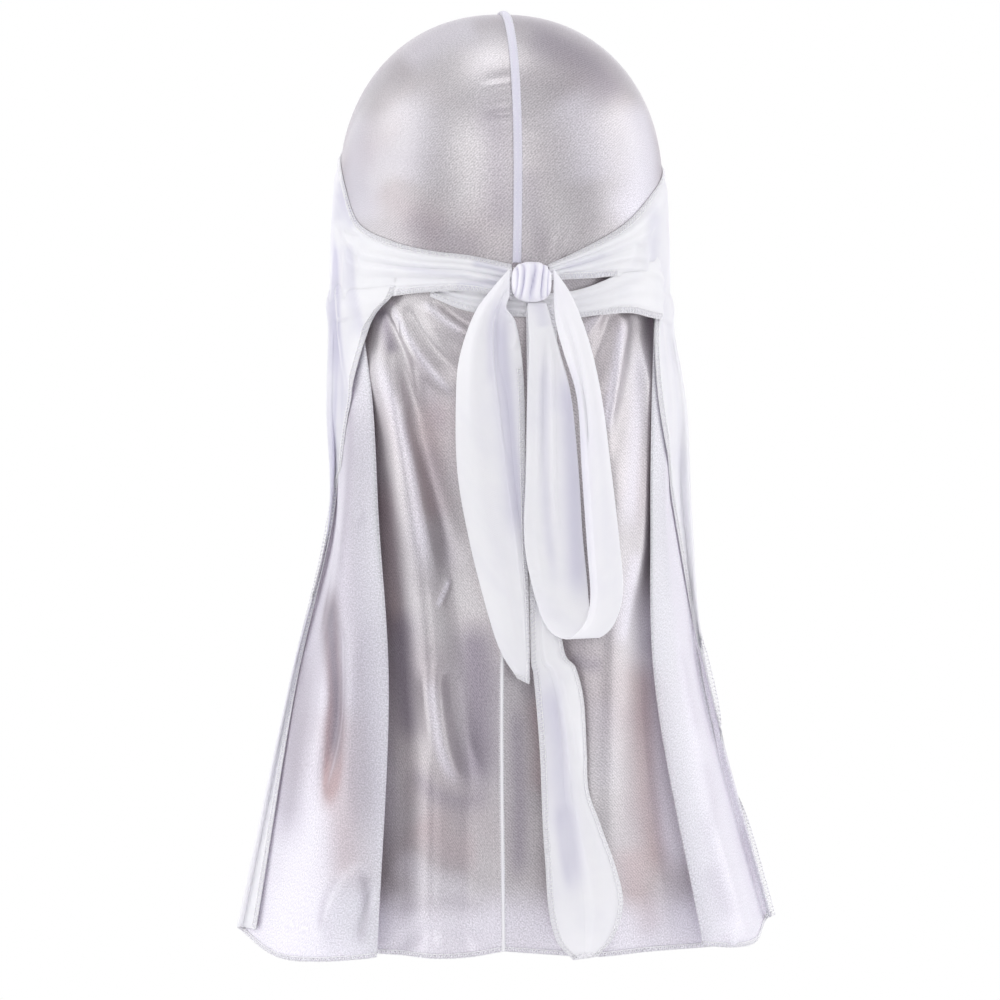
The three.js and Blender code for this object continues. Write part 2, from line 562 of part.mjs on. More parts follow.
addPiece('crown_left', cloth(crownPanel(1), 16, 11), faceColour, 0.4);
addPiece('crown_right', cloth(crownPanel(-1), 16, 11), faceColour, 0.4);
addPiece('crown_seam', cloth(crownSeam, 1, 26, seamWall), stitchColour, 0.6);
addPiece('front_hem', cloth(band(hemRows), 26, 2), reverseColour, 0.6);
addPiece('wrap_left', cloth(strap(leftStrapRows, 1), 18, 8), reverseColour, 0.6);
addPiece('wrap_right', cloth(strap(rightStrapRows, -1), 18, 8), reverseColour, 0.6);
addPiece('wrap_under', cloth(band(underStrapRows), 16, 2), reverseColour, 0.6);
addPiece('knot', knotShape(), reverseColour, 0.6);
addPiece('tie_tail_left', cloth(strip(tailRows, 1, tailWidth, tailLength), 8, 18), reverseColour, 0.6);
addPiece('tie_loop', cloth(strip(loopRows, -1, loopWidth, loopLength), 5, 32), reverseColour, 0.6);
addPiece('tie_tail_long', cloth(strip(longTailRows, -1, longWidth, longLength), 8, 22), reverseColour, 0.6);
addPiece('cape_left', cloth(cape(leftFolds, 1, leftStrapRows), 33, 17), faceColour, 0.4);
addPiece('cape_right', cloth(cape(rightFolds, -1, rightStrapRows), 33, 17), faceColour, 0.4);
addPiece('cape_seam', cloth(capeSeam, 1, 22, capeSeamWall), stitchColour, 0.6);

export default durag;
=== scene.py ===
import math

import bpy
import numpy as np
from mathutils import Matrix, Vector


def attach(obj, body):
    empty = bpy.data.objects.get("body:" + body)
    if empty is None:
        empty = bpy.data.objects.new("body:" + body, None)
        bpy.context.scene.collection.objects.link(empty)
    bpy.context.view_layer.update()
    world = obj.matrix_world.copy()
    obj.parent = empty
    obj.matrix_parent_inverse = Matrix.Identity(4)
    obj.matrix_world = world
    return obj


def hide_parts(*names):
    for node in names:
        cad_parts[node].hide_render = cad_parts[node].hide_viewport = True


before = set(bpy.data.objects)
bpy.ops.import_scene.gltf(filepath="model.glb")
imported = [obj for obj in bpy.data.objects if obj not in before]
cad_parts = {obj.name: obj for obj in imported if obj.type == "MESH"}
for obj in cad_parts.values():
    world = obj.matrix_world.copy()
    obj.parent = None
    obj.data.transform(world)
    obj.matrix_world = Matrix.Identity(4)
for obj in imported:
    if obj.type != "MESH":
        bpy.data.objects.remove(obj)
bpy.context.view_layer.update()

print("frame loaded")

mm = 0.001  # everything below is worked out in millimetres and made in metres
tints = ("paleFinishAndPaintedHighlight", "warmTintAndPaintedShade", "dusk")  # painted marks: painted highlights over a pale matt finish, warm painted shade, and painted shade

# The head that the cloth keeps its form on, the same as the solids'
head = {
    "width": 155,
    "length": 188,
    "domeHeight": 84,  # from the top down to the widest level
    "domeSquareness": 2.15,
    "levelSquareness": 2.2,
    "napeFall": 50,
    "napeTuck": 8,
    "sideTuck": 4,
}
cloth = {
    "wall": 0.8,  # a knit satin shown a little thicker than it is, so that its edges read
    "hugLift": 0.6,
    "overLift": 2.8,  # a strap that lies on the crown
    "napeDrop": 133,  # from the top down to the crown's edge at the nape
    "knotShare": 1.013,  # the knot's middle, as a share of that
    "hemDrop": 449,
    "hemWidth": 262,
}

# The camera stands behind the wearer, a little to the wearer's left
camera = {
    "yaw": 5.0,
    "distance": 1700,
    "height": -235.5,
    "mmPerPixel": 0.49,
    "middle": 501,
    "picture": 1000,
    "sensor": 36,
}


def smooth(values, place):
    values = np.asarray(values, float)
    last = len(values) - 1
    at = np.clip(place, 0, 1) * last
    i = np.minimum(at.astype(int), last - 1)
    t = at - i
    b = values[i]
    c = values[i + 1]
    a = np.where(i > 0, values[np.maximum(i - 1, 0)], 2 * b - c)
    d = np.where(i + 2 <= last, values[np.minimum(i + 2, last)], 2 * c - b)
    return b + 0.5 * t * (c - a + t * (2 * a - 5 * b + 4 * c - d + t * (3 * (b - c) + d - a)))


def straight(values, place):
    return np.interp(np.clip(place, 0, 1), np.linspace(0, 1, len(values)), values)


def ease(value, start, end):
    t = np.clip((value - start) / (end - start), 0, 1)
    return t * t * (3 - 2 * t)


def placeOfTurn(rows, turn):
    return np.interp(np.abs(turn), rows["turn"], np.linspace(0, 1, len(rows["turn"])))


def flow(points, place):
    # a centripetal curve through points[0], points[1] and so on, read at every place
    points = np.asarray(points, float)
    count = len(points)
    at = np.clip(place, 0, 1) * (count - 1)
    i = np.minimum(at.astype(int), count - 2)
    t = (at - i)[..., None]
    ends = np.concatenate([[2 * points[0] - points[1]], points, [2 * points[-1] - points[-2]]])
    p0, p1, p2, p3 = (ends[i + k] for k in range(4))
    if points.ndim > 2:
        p0, p1, p2, p3 = (np.moveaxis(p, 0, -2) for p in (p0, p1, p2, p3))
    gap = lambda a, b: np.maximum(np.sum((a - b) ** 2, axis=-1, keepdims=True) ** 0.25, 1e-4)
    d0, d1, d2 = gap(p0, p1), gap(p1, p2), gap(p2, p3)
    t1 = ((p1 - p0) / d0 - (p2 - p0) / (d0 + d1) + (p2 - p1) / d1) * d1
    t2 = ((p2 - p1) / d1 - (p3 - p1) / (d1 + d2) + (p3 - p2) / d2) * d1
    return p1 + t * (t1 + t * (3 * (p2 - p1) - 2 * t1 - t2 + t * (2 * (p1 - p2) + t1 + t2)))


def fallTo(z):
    dome = head["domeHeight"]
    share = np.clip((z + dome) / dome, 0, 1) ** (head["domeSquareness"] / 2)
    return np.where(z < -dome, dome * math.pi / 2 - z - dome, dome * np.arccos(share))


def signedPower(value, exponent):
    return np.sign(value) * np.abs(value) ** exponent


def overHead(turn, fall, lift):
    # turn 0 is the back, 0.5 the wearer's left, -0.5 the right and 1 the front
    dome = head["domeHeight"]
    tilt = np.minimum(fall / dome, math.pi / 2)
    spread = np.sin(tilt) ** (2 / head["domeSquareness"])
    rise = np.maximum(0, np.cos(tilt)) ** (2 / head["domeSquareness"])
    below = np.maximum(0, fall - dome * math.pi / 2)
    tuck = np.minimum(1, below / head["napeFall"]) ** 2
    sine = np.sin(turn * math.pi)
    cosine = np.cos(turn * math.pi)
    side = (head["width"] / 2 + lift) * spread - head["sideTuck"] * tuck
    back = (head["length"] / 2 + lift) * spread - np.where(cosine > 0, head["napeTuck"] * tuck, 0)
    return np.stack([
        side * signedPower(sine, 2 / head["levelSquareness"]),
        back * signedPower(cosine, 2 / head["levelSquareness"]),
        (dome + lift) * rise - dome - below,
    ], axis=-1)


def seenAt(points):
    # where points in millimetres come in the picture, in pixels
    yaw = math.radians(camera["yaw"])
    depth = points[..., 1] * math.cos(yaw) + points[..., 0] * math.sin(yaw)
    scale = camera["mmPerPixel"] * (1 - depth / camera["distance"])
    right = -points[..., 0] * math.cos(yaw) + points[..., 1] * math.sin(yaw)
    return np.stack([
        camera["middle"] + right / scale,
        camera["picture"] / 2 - (points[..., 2] - camera["height"]) / scale,
    ], axis=-1)


def normalsOf(middle):
    across = np.gradient(middle, axis=0)
    down = np.gradient(middle, axis=1)
    normal = np.cross(down, across)
    return normal / np.maximum(np.linalg.norm(normal, axis=-1, keepdims=True), 1e-9)


def facingCamera(normal):
    yaw = math.radians(camera["yaw"])
    return normal @ np.array([math.sin(yaw), math.cos(yaw), 0])


def nearPath(places, path):
    # distance from a path, which side of it, and how far along it, for every place
    path = flow(path, np.linspace(0, 1, 4 * len(path)))
    steps = np.linalg.norm(np.diff(path, axis=0), axis=1)
    done = np.concatenate([[0], np.cumsum(steps)]) / steps.sum()
    best = np.full(places.shape[:-1], 1e9)
    side = np.zeros_like(best)
    share = np.zeros_like(best)
    for i in range(len(path) - 1):
        run = path[i + 1] - path[i]
        from0 = places - path[i]
        t = np.clip(from0 @ run / (run @ run), 0, 1)
        away = from0 - t[..., None] * run
        distance = np.linalg.norm(away, axis=-1)
        closer = distance < best
        best = np.where(closer, distance, best)
        side = np.where(closer, np.sign(run[0] * from0[..., 1] - run[1] * from0[..., 0]), side)
        share = np.where(closer, done[i] + t * (done[i + 1] - done[i]), share)
    return best, side, share


# A fold and a stroke of tint are written alike: the fold's height in millimetres or how much of the
# tint, the widths before and after the path, and the path, both in pixels of the camera's picture

def crease(middle, folds, room=1.0, fade=(0.2, 0.3), step=None):
    # folds that stand out of the cloth or sink into it
    normal = normalsOf(middle)
    places = seenAt(middle)
    facing = facingCamera(normal)
    height = np.zeros(places.shape[:-1])
    for most, (before, after), path in folds:
        distance, side, share = nearPath(places, path)
        fading = ease(share, 0, fade[0]) * (1 - ease(share, 1 - fade[1], 1))
        form = np.exp(-(distance / np.where(side > 0, after, before)) ** 2)
        if step:  # the cloth beyond the path stays at that height, and eases back further out
            beyond = side * distance
            form = ease(beyond, -before, after) * np.exp(-(np.maximum(0, beyond) / step) ** 2)
        height += most * form * fading
    height *= ease(np.abs(facing), 0.15, 0.5) * np.sign(facing)
    return middle + normal * (height * room)[..., None]


def tinge(middle, strokes):
    # how much of a tint the outer face takes and how much the inner face, as only the one that
    # faces the camera takes it
    places = seenAt(middle)
    amount = np.zeros(places.shape[:-1])
    for much, (before, after), path in strokes:
        distance, side, share = nearPath(places, path)
        ends = ease(share, 0, 0.2) * (1 - ease(share, 0.8, 1))
        amount += much * np.exp(-(distance / np.where(side > 0, after, before)) ** 2) * ends
    facing = facingCamera(normalsOf(middle))
    both = np.stack([ease(facing, 0.05, 0.4), ease(-facing, 0.05, 0.4)], axis=-1)
    return np.clip(amount, 0, 1)[..., None] * both


def clothLengths(middle, fromLast=False):
    # how far along the cloth each point lies, both ways, in metres
    across = np.linalg.norm(np.diff(middle, axis=0), axis=-1)
    down = np.linalg.norm(np.diff(middle, axis=1), axis=-1)
    u = np.concatenate([np.zeros((1, middle.shape[1])), np.cumsum(across, axis=0)])
    u -= u[-1] if fromLast else 0
    v = np.concatenate([np.zeros((middle.shape[0], 1)), np.cumsum(down, axis=1)], axis=1)
    return np.stack([u, v], axis=-1) * mm


def makeMesh(name, points, faces, looks, lookOf=None, uv=None, marks=None, sharp=60):
    mesh = bpy.data.meshes.new(name)
    mesh.from_pydata((np.asarray(points) * mm).tolist(), [], faces)
    for look in looks:
        mesh.materials.append(look)
    if lookOf is not None:
        mesh.polygons.foreach_set("material_index", np.asarray(lookOf, np.int32))
    if uv is not None:
        corners = np.empty(len(mesh.loops), np.int32)
        mesh.loops.foreach_get("vertex_index", corners)
        mesh.uv_layers.new(name="cloth").data.foreach_set("uv", np.asarray(uv)[corners].ravel())
    for mark, values in (marks or {}).items():
        attribute = mesh.attributes.new(mark, "FLOAT", "POINT")
        attribute.data.foreach_set("value", np.asarray(values, float))
    mesh.polygons.foreach_set("use_smooth", np.ones(len(mesh.polygons), bool))
    mesh.set_sharp_from_angle(angle=math.radians(sharp))
    mesh.update()
    piece = bpy.data.objects.new(name, mesh)
    bpy.context.scene.collection.objects.link(piece)
    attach(piece, "root")
    return piece


def makeCloth(name, middle, looks, uv=None, marks=None):
    # a closed cloth with a rounded rim: looks are the outer face's and the inner face's
    half = cloth["wall"] / 2
    normal = normalsOf(middle)
    across, down = middle.shape[:2]
    outer = middle + normal * half
    inner = middle - normal * half
    ring = [(i, 0) for i in range(across)] + [(across - 1, j) for j in range(1, down)]
    ring += [(i, down - 1) for i in range(across - 2, -1, -1)]
    ring += [(0, j) for j in range(down - 2, 0, -1)]
    ring = np.array(ring)
    inside = np.clip(ring, 1, [across - 2, down - 2])
    outward = middle[ring[:, 0], ring[:, 1]] - middle[inside[:, 0], inside[:, 1]]
    outward /= np.maximum(np.linalg.norm(outward, axis=-1, keepdims=True), 1e-9)
    rim = middle[ring[:, 0], ring[:, 1]] + outward * half
    count = across * down
    points = np.concatenate([outer.reshape(-1, 3), inner.reshape(-1, 3), rim])
    i, j = np.meshgrid(np.arange(across - 1), np.arange(down - 1), indexing="ij")
    corner = (i * down + j).ravel()
    front = np.stack([corner, corner + 1, corner + down + 1, corner + down], axis=1)
    back = np.stack([corner, corner + down, corner + down + 1, corner + 1], axis=1) + count
    loop = ring[:, 0] * down + ring[:, 1]
    following = np.roll(loop, -1)
    rimAt = 2 * count + np.arange(len(loop))
    rimNext = np.roll(rimAt, -1)
    upper = np.stack([loop, following, rimNext, rimAt], axis=1)
    lower = np.stack([rimAt, rimNext, following + count, loop + count], axis=1)
    faces = np.concatenate([front, back, upper, lower])
    lookOf = np.concatenate([
        np.zeros(len(front)), np.full(len(back), min(1, len(looks) - 1)),
        np.zeros(len(upper)), np.full(len(lower), min(1, len(looks) - 1)),
    ])
    lengths = clothLengths(middle) if uv is None else uv
    flat = lengths.reshape(-1, 2)
    uvs = np.concatenate([flat, flat, lengths[ring[:, 0], ring[:, 1]]])
    spread = {}
    plain = np.zeros((across, down, 2))
    for mark, values in {**dict.fromkeys(tints, plain), **(marks or {})}.items():
        rimValues = values[ring[:, 0], ring[:, 1]].max(axis=-1)
        spread[mark] = np.concatenate([values[..., 0].ravel(), values[..., 1].ravel(), rimValues])
    return makeMesh(name, points, faces.tolist(), looks, lookOf, uvs, spread)


def declareSheet(node):
    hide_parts(node)


# Materials

wavePitch = 0.314  # a wave pattern of scale 1 repeats at this length in metres
diagonalPitch = 0.159  # and one that runs diagonally through all three directions at this


def colour(hexValue):
    parts = [int(hexValue[i:i + 2], 16) / 255 for i in (1, 3, 5)]
    return [p / 12.92 if p <= 0.04045 else ((p + 0.055) / 1.055) ** 2.4 for p in parts] + [1.0]


def addNode(tree, kind, settings=None, links=None):
    # settings are the node's own properties or its sockets' values, links are other nodes' outputs
    node = tree.nodes.new("ShaderNode" + kind)
    for key, value in (settings or {}).items():
        if isinstance(key, str) and hasattr(node, key) and key not in node.inputs:
            setattr(node, key, value)
        else:
            node.inputs[key].default_value = value
    for key, output in (links or {}).items():
        tree.links.new(output, node.inputs[key])
    return node


def addRamp(tree, factor, stops):
    ramp = addNode(tree, "ValToRGB", links={"Fac": factor})
    while len(ramp.color_ramp.elements) < len(stops):
        ramp.color_ramp.elements.new(0.5)
    for element, (place, shade) in zip(ramp.color_ramp.elements, stops):
        element.position = place
        element.color = colour(shade)
    return ramp


def newMaterial(name):
    material = bpy.data.materials.new(name)
    material.use_nodes = True
    tree = material.node_tree
    tree.nodes.clear()
    return material, tree


satinFace = {
    "low": "#b5b1b4",
    "middle": "#c2bfc0",
    "high": "#d0cdcd",
    # the colours that the marks mix to: a warm tint that also paints shade, painted shade, and a pale finish
    # that also paints highlights
    "warmTintAndPaintedShade": "#b69d9d",
    "dusk": "#9a939d",
    "paleFinishAndPaintedHighlight": "#efedf5",
    "rib": 1.1,  # mm between the diagonal ribs, drawn coarser than the real 0.4 so that they show
    "roughness": 0.37,
    "metallic": 0.58,
    "glow": 0.9,
}


def makeSatinFace():
    # Polyester satin, warp knitted and calendered: smooth shiny floats give it a pearly glare that
    # breaks into fine diagonal specks, over a grey mauve that drifts from cool to pinkish. Painted
    # highlights, a warm painted shade and a grey painted shade are mixed into its colour
    look = satinFace
    material, tree = newMaterial("polyesterSatinCalendered")
    place = addNode(tree, "UVMap", {"uv_map": "cloth"}).outputs["UV"]
    drift = addNode(tree, "TexNoise", {"Scale": 11.0, "Detail": 3.0, "Roughness": 0.5},
                    {"Vector": place})
    tint = addRamp(tree, drift.outputs["Fac"],
                   [(0.36, look["low"]), (0.5, look["middle"]), (0.64, look["high"])])
    warm = addNode(tree, "TexNoise",
                   {"noise_dimensions": "4D", "Scale": 16.0, "Detail": 2.0, "W": 3.0}, {"Vector": place})
    warmAt = addNode(tree, "MapRange", {"From Min": 0.45, "From Max": 0.75, "To Max": 0.2},
                     {"Value": warm.outputs["Fac"]})
    painted = {
        mark: addNode(tree, "Attribute", {"attribute_name": mark}).outputs["Fac"] for mark in tints
    }
    warmDriftAndPaintedShade = addNode(tree, "Math", {"operation": "ADD", "use_clamp": True},
                     {0: warmAt.outputs[0], 1: painted["warmTintAndPaintedShade"]})
    left = addNode(tree, "Math", {"operation": "MULTIPLY_ADD", 1: -0.75, "use_clamp": True},
                   {0: painted["warmTintAndPaintedShade"], 2: painted["paleFinishAndPaintedHighlight"]})  # where the warm painted shade lies, less of the pale finish and painted highlight
    ground = tint.outputs["Color"]
    # mixes in the warm tint and warm painted shade, the pale finish and painted highlights, then the painted
    # shade
    for mark, amount in (("warmTintAndPaintedShade", warmDriftAndPaintedShade.outputs[0]), ("paleFinishAndPaintedHighlight", left.outputs[0]), ("dusk", painted["dusk"])):
        mix = addNode(tree, "Mix", {"data_type": "RGBA", 7: colour(look[mark])}, {0: amount, 6: ground})
        ground = mix.outputs[2]
    turned = addNode(tree, "Mapping", {"Rotation": (0, 0, math.radians(42))}, {"Vector": place})
    ribs = addNode(tree, "TexWave",
                   {"Scale": wavePitch / (look["rib"] * mm), "Distortion": 5.0, "Detail": 3.0,
                    "Detail Scale": 3.0},
                   {"Vector": turned.outputs[0]})
    speck = addNode(tree, "TexNoise", {"Scale": 1300.0, "Detail": 2.0}, {"Vector": place})
    ribWeight = addNode(tree, "MapRange", {"To Min": 0.22, "To Max": 0.0},
                        {"Value": painted["paleFinishAndPaintedHighlight"]})
    weave = addNode(tree, "Math", {"operation": "MULTIPLY_ADD"},
                    {0: ribs.outputs["Fac"], 1: ribWeight.outputs[0], 2: speck.outputs["Fac"]})
    shade = addNode(tree, "MapRange",
                    {"From Min": 0.38, "From Max": 0.82, "To Min": 0.75, "To Max": 1.21},
                    {"Value": weave.outputs[0]})
    base = addNode(tree, "VectorMath", {"operation": "SCALE"},
                   {0: ground, "Scale": shade.outputs[0]})
    bump = addNode(tree, "Bump", {"Strength": 0.22, "Distance": 0.0003},
                   {"Height": weave.outputs[0]})
    glare = addNode(tree, "MapRange", {"To Min": look["metallic"], "To Max": 0.04},
                    {"Value": painted["paleFinishAndPaintedHighlight"]})
    surface = addNode(tree, "BsdfPrincipled",
                      {"Roughness": look["roughness"], "IOR": 1.5, "Specular IOR Level": 0.6,
                       "Subsurface Weight": look["glow"], "Subsurface Radius": (1.0, 0.93, 0.97),
                       "Subsurface Scale": 0.002,
                       "Sheen Weight": 0.25, "Sheen Roughness": 0.35, "Sheen Tint": colour("#f4effa")},
                      {"Base Color": base.outputs[0], "Normal": bump.outputs[0],
                       "Metallic": glare.outputs[0]})
    addNode(tree, "OutputMaterial", links={"Surface": surface.outputs[0]})
    return material


# its painted shade colour is lavender
satinReverse = {"low": "#f3f2f8", "high": "#fbfafd", "dusk": "#c1bfd4", "roughness": 0.5, "wale": 0.9,
                "glow": 0.6}


def makeSatinReverse():
    # The same knit's reverse: matt white wales, soft as chalk, that take lavender shade in a fold, partly from
    # a painted shade mixed into the colour
    look = satinReverse
    material, tree = newMaterial("polyesterSatinReverse")
    place = addNode(tree, "UVMap", {"uv_map": "cloth"}).outputs["UV"]
    drift = addNode(tree, "TexNoise", {"Scale": 30.0, "Detail": 3.0}, {"Vector": place})
    tint = addRamp(tree, drift.outputs["Fac"], [(0.35, look["low"]), (0.6, look["high"])])
    dusk = addNode(tree, "Attribute", {"attribute_name": "dusk"})
    base = addNode(tree, "Mix", {"data_type": "RGBA", 7: colour(look["dusk"])},
                   {0: dusk.outputs["Fac"], 6: tint.outputs["Color"]})
    wales = addNode(tree, "TexWave",
                    {"bands_direction": "Y", "Scale": wavePitch / (look["wale"] * mm), "Distortion": 4.0,
                     "Detail": 3.0},
                    {"Vector": place})
    fine = addNode(tree, "TexNoise", {"Scale": 1400.0, "Detail": 1.0}, {"Vector": place})
    weave = addNode(tree, "Math", {"operation": "MULTIPLY"},
                    {0: wales.outputs["Fac"], 1: fine.outputs["Fac"]})
    bump = addNode(tree, "Bump", {"Strength": 0.15, "Distance": 0.0003},
                   {"Height": weave.outputs[0]})
    surface = addNode(tree, "BsdfPrincipled",
                      {"Roughness": look["roughness"], "IOR": 1.5, "Specular IOR Level": 0.5,
                       "Subsurface Weight": look["glow"], "Subsurface Radius": (1.0, 0.95, 1.0),
                       "Subsurface Scale": 0.0025,
                       "Sheen Weight": 0.4, "Sheen Roughness": 0.4, "Sheen Tint": colour("#f6f4fc")},
                      {"Base Color": base.outputs[2], "Normal": bump.outputs[0]})
    addNode(tree, "OutputMaterial", links={"Surface": surface.outputs[0]})
    return material


thread = {"low": "#f4f3f8", "high": "#ffffff", "twist": 0.5}


def makeThread():
    # Textured polyester sewing thread, twisted: a soft white with a faint slant across it
    material, tree = newMaterial("polyesterThreadTwisted")
    place = addNode(tree, "TexCoord").outputs["Object"]
    twist = addNode(tree, "TexWave",
                    {"bands_direction": "DIAGONAL", "Scale": diagonalPitch / (thread["twist"] * mm),
                     "Distortion": 1.0},
                    {"Vector": place})
    tint = addRamp(tree, twist.outputs["Fac"], [(0.1, thread["low"]), (0.7, thread["high"])])
    bump = addNode(tree, "Bump", {"Strength": 0.3, "Distance": 0.0002},
                   {"Height": twist.outputs["Fac"]})
    surface = addNode(tree, "BsdfPrincipled",
                      {"Roughness": 0.65, "IOR": 1.5, "Specular IOR Level": 0.3, "Sheen Weight": 0.5,
                       "Subsurface Weight": 0.6, "Subsurface Radius": (1.0, 1.0, 1.0),
                       "Subsurface Scale": 0.001},
                      {"Base Color": tint.outputs["Color"], "Normal": bump.outputs[0]})
    addNode(tree, "OutputMaterial", links={"Surface": surface.outputs[0]})
    return material


faceLook = makeSatinFace()
reverseLook = makeSatinReverse()
threadLook = makeThread()
print("materials made")

# Thread work

overlock = {
    "spacing": 1.9,  # mm from stitch to stitch
    "depth": 2.7,  # mm from the cloth's edge to the needle line
    "radius": 0.25,
    "sides": 5,
    "past": 0.25,  # mm that the looped thread reaches past the edge
    "halfway": 0.55,  # and where it turns between edge and needle line
    "chainSwing": 0.12,
    "chainWidth": 1.1,
    "rimWidth": 1.2,
}


def distanceAlong(path):
    return np.concatenate([[0], np.cumsum(np.linalg.norm(np.diff(path, axis=0), axis=1))])


def readAlong(rows, done, at):
    return np.stack([np.interp(at, done, rows[:, k]) for k in range(3)], axis=-1)


def threadTube(path, normal, radius, sides):
    run = np.gradient(path, axis=0)
    run /= np.maximum(np.linalg.norm(run, axis=1, keepdims=True), 1e-9)
    cross = np.cross(run, normal)
    cross /= np.maximum(np.linalg.norm(cross, axis=1, keepdims=True), 1e-9)
    up = np.cross(cross, run)
    turns = np.arange(sides) * 2 * math.pi / sides
    rings = path[:, None] + radius * (
        np.cos(turns)[None, :, None] * cross[:, None] + np.sin(turns)[None, :, None] * up[:, None]
    )
    count = len(path)
    faces = []
    for i in range(count - 1):
        for k in range(sides):
            a = i * sides + k
            b = i * sides + (k + 1) % sides
            faces.append((a, a + sides, b + sides, b))
    faces.append(tuple(range(sides)))
    faces.append(tuple((count - 1) * sides + k for k in range(sides - 1, -1, -1)))
    return rings.reshape(-1, 3), faces


def addTube(store, path, normal, radius, sides):
    points, faces = threadTube(path, normal, radius, sides)
    start = sum(len(p) for p in store["points"])
    store["points"].append(points)
    store["faces"] += [tuple(start + k for k in face) for face in faces]


def overlockAlong(store, edge, inside, normal, depth=None, spacing=None):
    # edge and inside are paths of the same length: the cloth's edge and a line further in
    depth = overlock["depth"] if depth is None else depth
    spacing = overlock["spacing"] if spacing is None else spacing
    done = distanceAlong(edge)
    at = np.linspace(0, done[-1], 4 * max(3, int(done[-1] / spacing)) + 1)
    edgeAt, insideAt, up = (readAlong(rows, done, at) for rows in (edge, inside, normal))
    up /= np.linalg.norm(up, axis=1, keepdims=True)
    inward = insideAt - edgeAt
    inward /= np.maximum(np.linalg.norm(inward, axis=1, keepdims=True), 1e-9)
    high = overlock["radius"] + cloth["wall"] / 2
    step = np.arange(len(at)) % 4
    halfway = overlock["halfway"] * depth
    reach = np.choose(step, [-overlock["past"], halfway, depth, halfway])
    lift = np.choose(step, [0.1, high * 1.15, high, high * 1.3])
    zigzag = edgeAt + inward * reach[:, None] + up * lift[:, None]
    addTube(store, zigzag, up, overlock["radius"], overlock["sides"])
    sway = high + overlock["chainSwing"] * np.cos(np.arange(len(at)) * math.pi)
    chain = edgeAt + inward * depth + up * sway[:, None]
    addTube(store, chain[::2], up[::2], overlock["radius"] * overlock["chainWidth"], overlock["sides"])
    rim = edgeAt - inward * 0.1 + up * 0.15
    addTube(store, rim[::2], up[::2], overlock["radius"] * overlock["rimWidth"], overlock["sides"])


def rowEdge(middle, normal, row, inRow, first=0, last=None):
    # a row of a cloth's grid, from column first to last, as an edge to sew
    return middle[first:last, row], middle[first:last, inRow], normal[first:last, row]


def columnEdge(middle, normal, column, inColumn, first=0, last=None):
    return middle[column, first:last], middle[inColumn, first:last], normal[column, first:last]


def newStore():
    return {"points": [], "faces": []}


def makeThreads(name, store):
    piece = makeMesh(name, np.concatenate(store["points"]), store["faces"], [threadLook], sharp=80)
    return piece


def grid(across, down):
    return np.meshgrid(np.linspace(0, 1, across + 1), np.linspace(0, 1, down + 1), indexing="ij")


# Crown

crown = {
    "sheet": {"flat": (0.16, 0.30), "area": 0.0315},  # the size it was cut to, and its curved area
    "across": 110,
    "down": 90,
    "edge": {
        "turn": (0.0, 0.17, 0.33, 0.5, 0.67, 0.83, 1.0),
        "edge": (1.0, 0.98, 0.9, 0.83, 0.74, 0.62, 0.56),
    },
    "knitRadius": (85, 90),  # mm, the ball that the knit's two ways are measured on
    "foldFade": (0.1, 0.6),
    "folds": [  # puckers beside the seam and gathers above the knot
        (-0.7, (4, 4), [(516, 76), (500, 78), (478, 84)]),
        (0.7, (4, 4), [(516, 84), (498, 86), (480, 91)]),
        (-0.6, (4, 4), [(518, 92), (500, 93), (484, 97)]),
        (-0.8, (4, 4), [(519, 108), (500, 110), (480, 114)]),
        (0.7, (4, 4), [(520, 117), (502, 119), (484, 123)]),
        (0.4, (5, 5), [(524, 132), (545, 134), (566, 140)]),
        (-0.9, (5, 5), [(546, 266), (548, 245), (558, 215)]),
        (0.8, (4, 4), [(555, 264), (560, 245), (574, 215)]),
        (-0.7, (5, 5), [(562, 262), (570, 243), (588, 215)]),
        (0.4, (4, 4), [(535, 266), (534, 240), (532, 205)]),
    ],
    # painted highlights where the satin's glare lies, and painted shade where it is dull
    "paleFinishAndPaintedHighlight": [
        (0.5, (24, 24), [(350, 100), (350, 150), (356, 200), (372, 236)]),
        (0.7, (28, 24), [(640, 90), (652, 140), (646, 190), (620, 235)]),
        (0.1, (24, 18), [(492, 10), (488, 50), (488, 110), (478, 150)]),
        (0.35, (26, 26), [(560, 90), (584, 130), (596, 190)]),
        (0.25, (26, 26), [(400, 90), (420, 130), (400, 190)]),
        (0.35, (16, 16), [(400, 66), (440, 40), (484, 26)]),
    ],
    "dusk": [
        (0.6, (12, 22), [(520, 30), (550, 40), (590, 62), (628, 108)]),
        (0.45, (22, 16), [(492, 90), (498, 170), (502, 240)]),
        (0.25, (16, 16), [(400, 215), (440, 235), (490, 250)]),
        (0.3, (12, 10), [(530, 160), (536, 220), (545, 262)]),
    ],
    # warm painted shade
    "warmTintAndPaintedShade": [
        (0.16, (20, 20), [(380, 180), (410, 210), (455, 226)]),
    ],
}


def crownPanel(side):
    u, v = grid(crown["across"], crown["down"])
    turn = 1 - u if side > 0 else -u
    edge = fallTo(-cloth["napeDrop"] * smooth(crown["edge"]["edge"], placeOfTurn(crown["edge"], turn)))
    place = overHead(turn, edge * (0.002 + 0.998 * v), cloth["hugLift"])
    place[..., 0] += side * 0.2
    return crease(place, crown["folds"], fade=crown["foldFade"])


def crownUv(middle):
    # the knit lies straight along the middle seam
    centre = middle - np.array([0, 0, -head["domeHeight"]])
    radius = np.linalg.norm(centre, axis=-1)
    u = np.arcsin(np.clip(centre[..., 0] / radius, -1, 1)) * crown["knitRadius"][0]
    v = np.arctan2(centre[..., 1], centre[..., 2]) * crown["knitRadius"][1]
    return np.stack([u, v], axis=-1) * mm


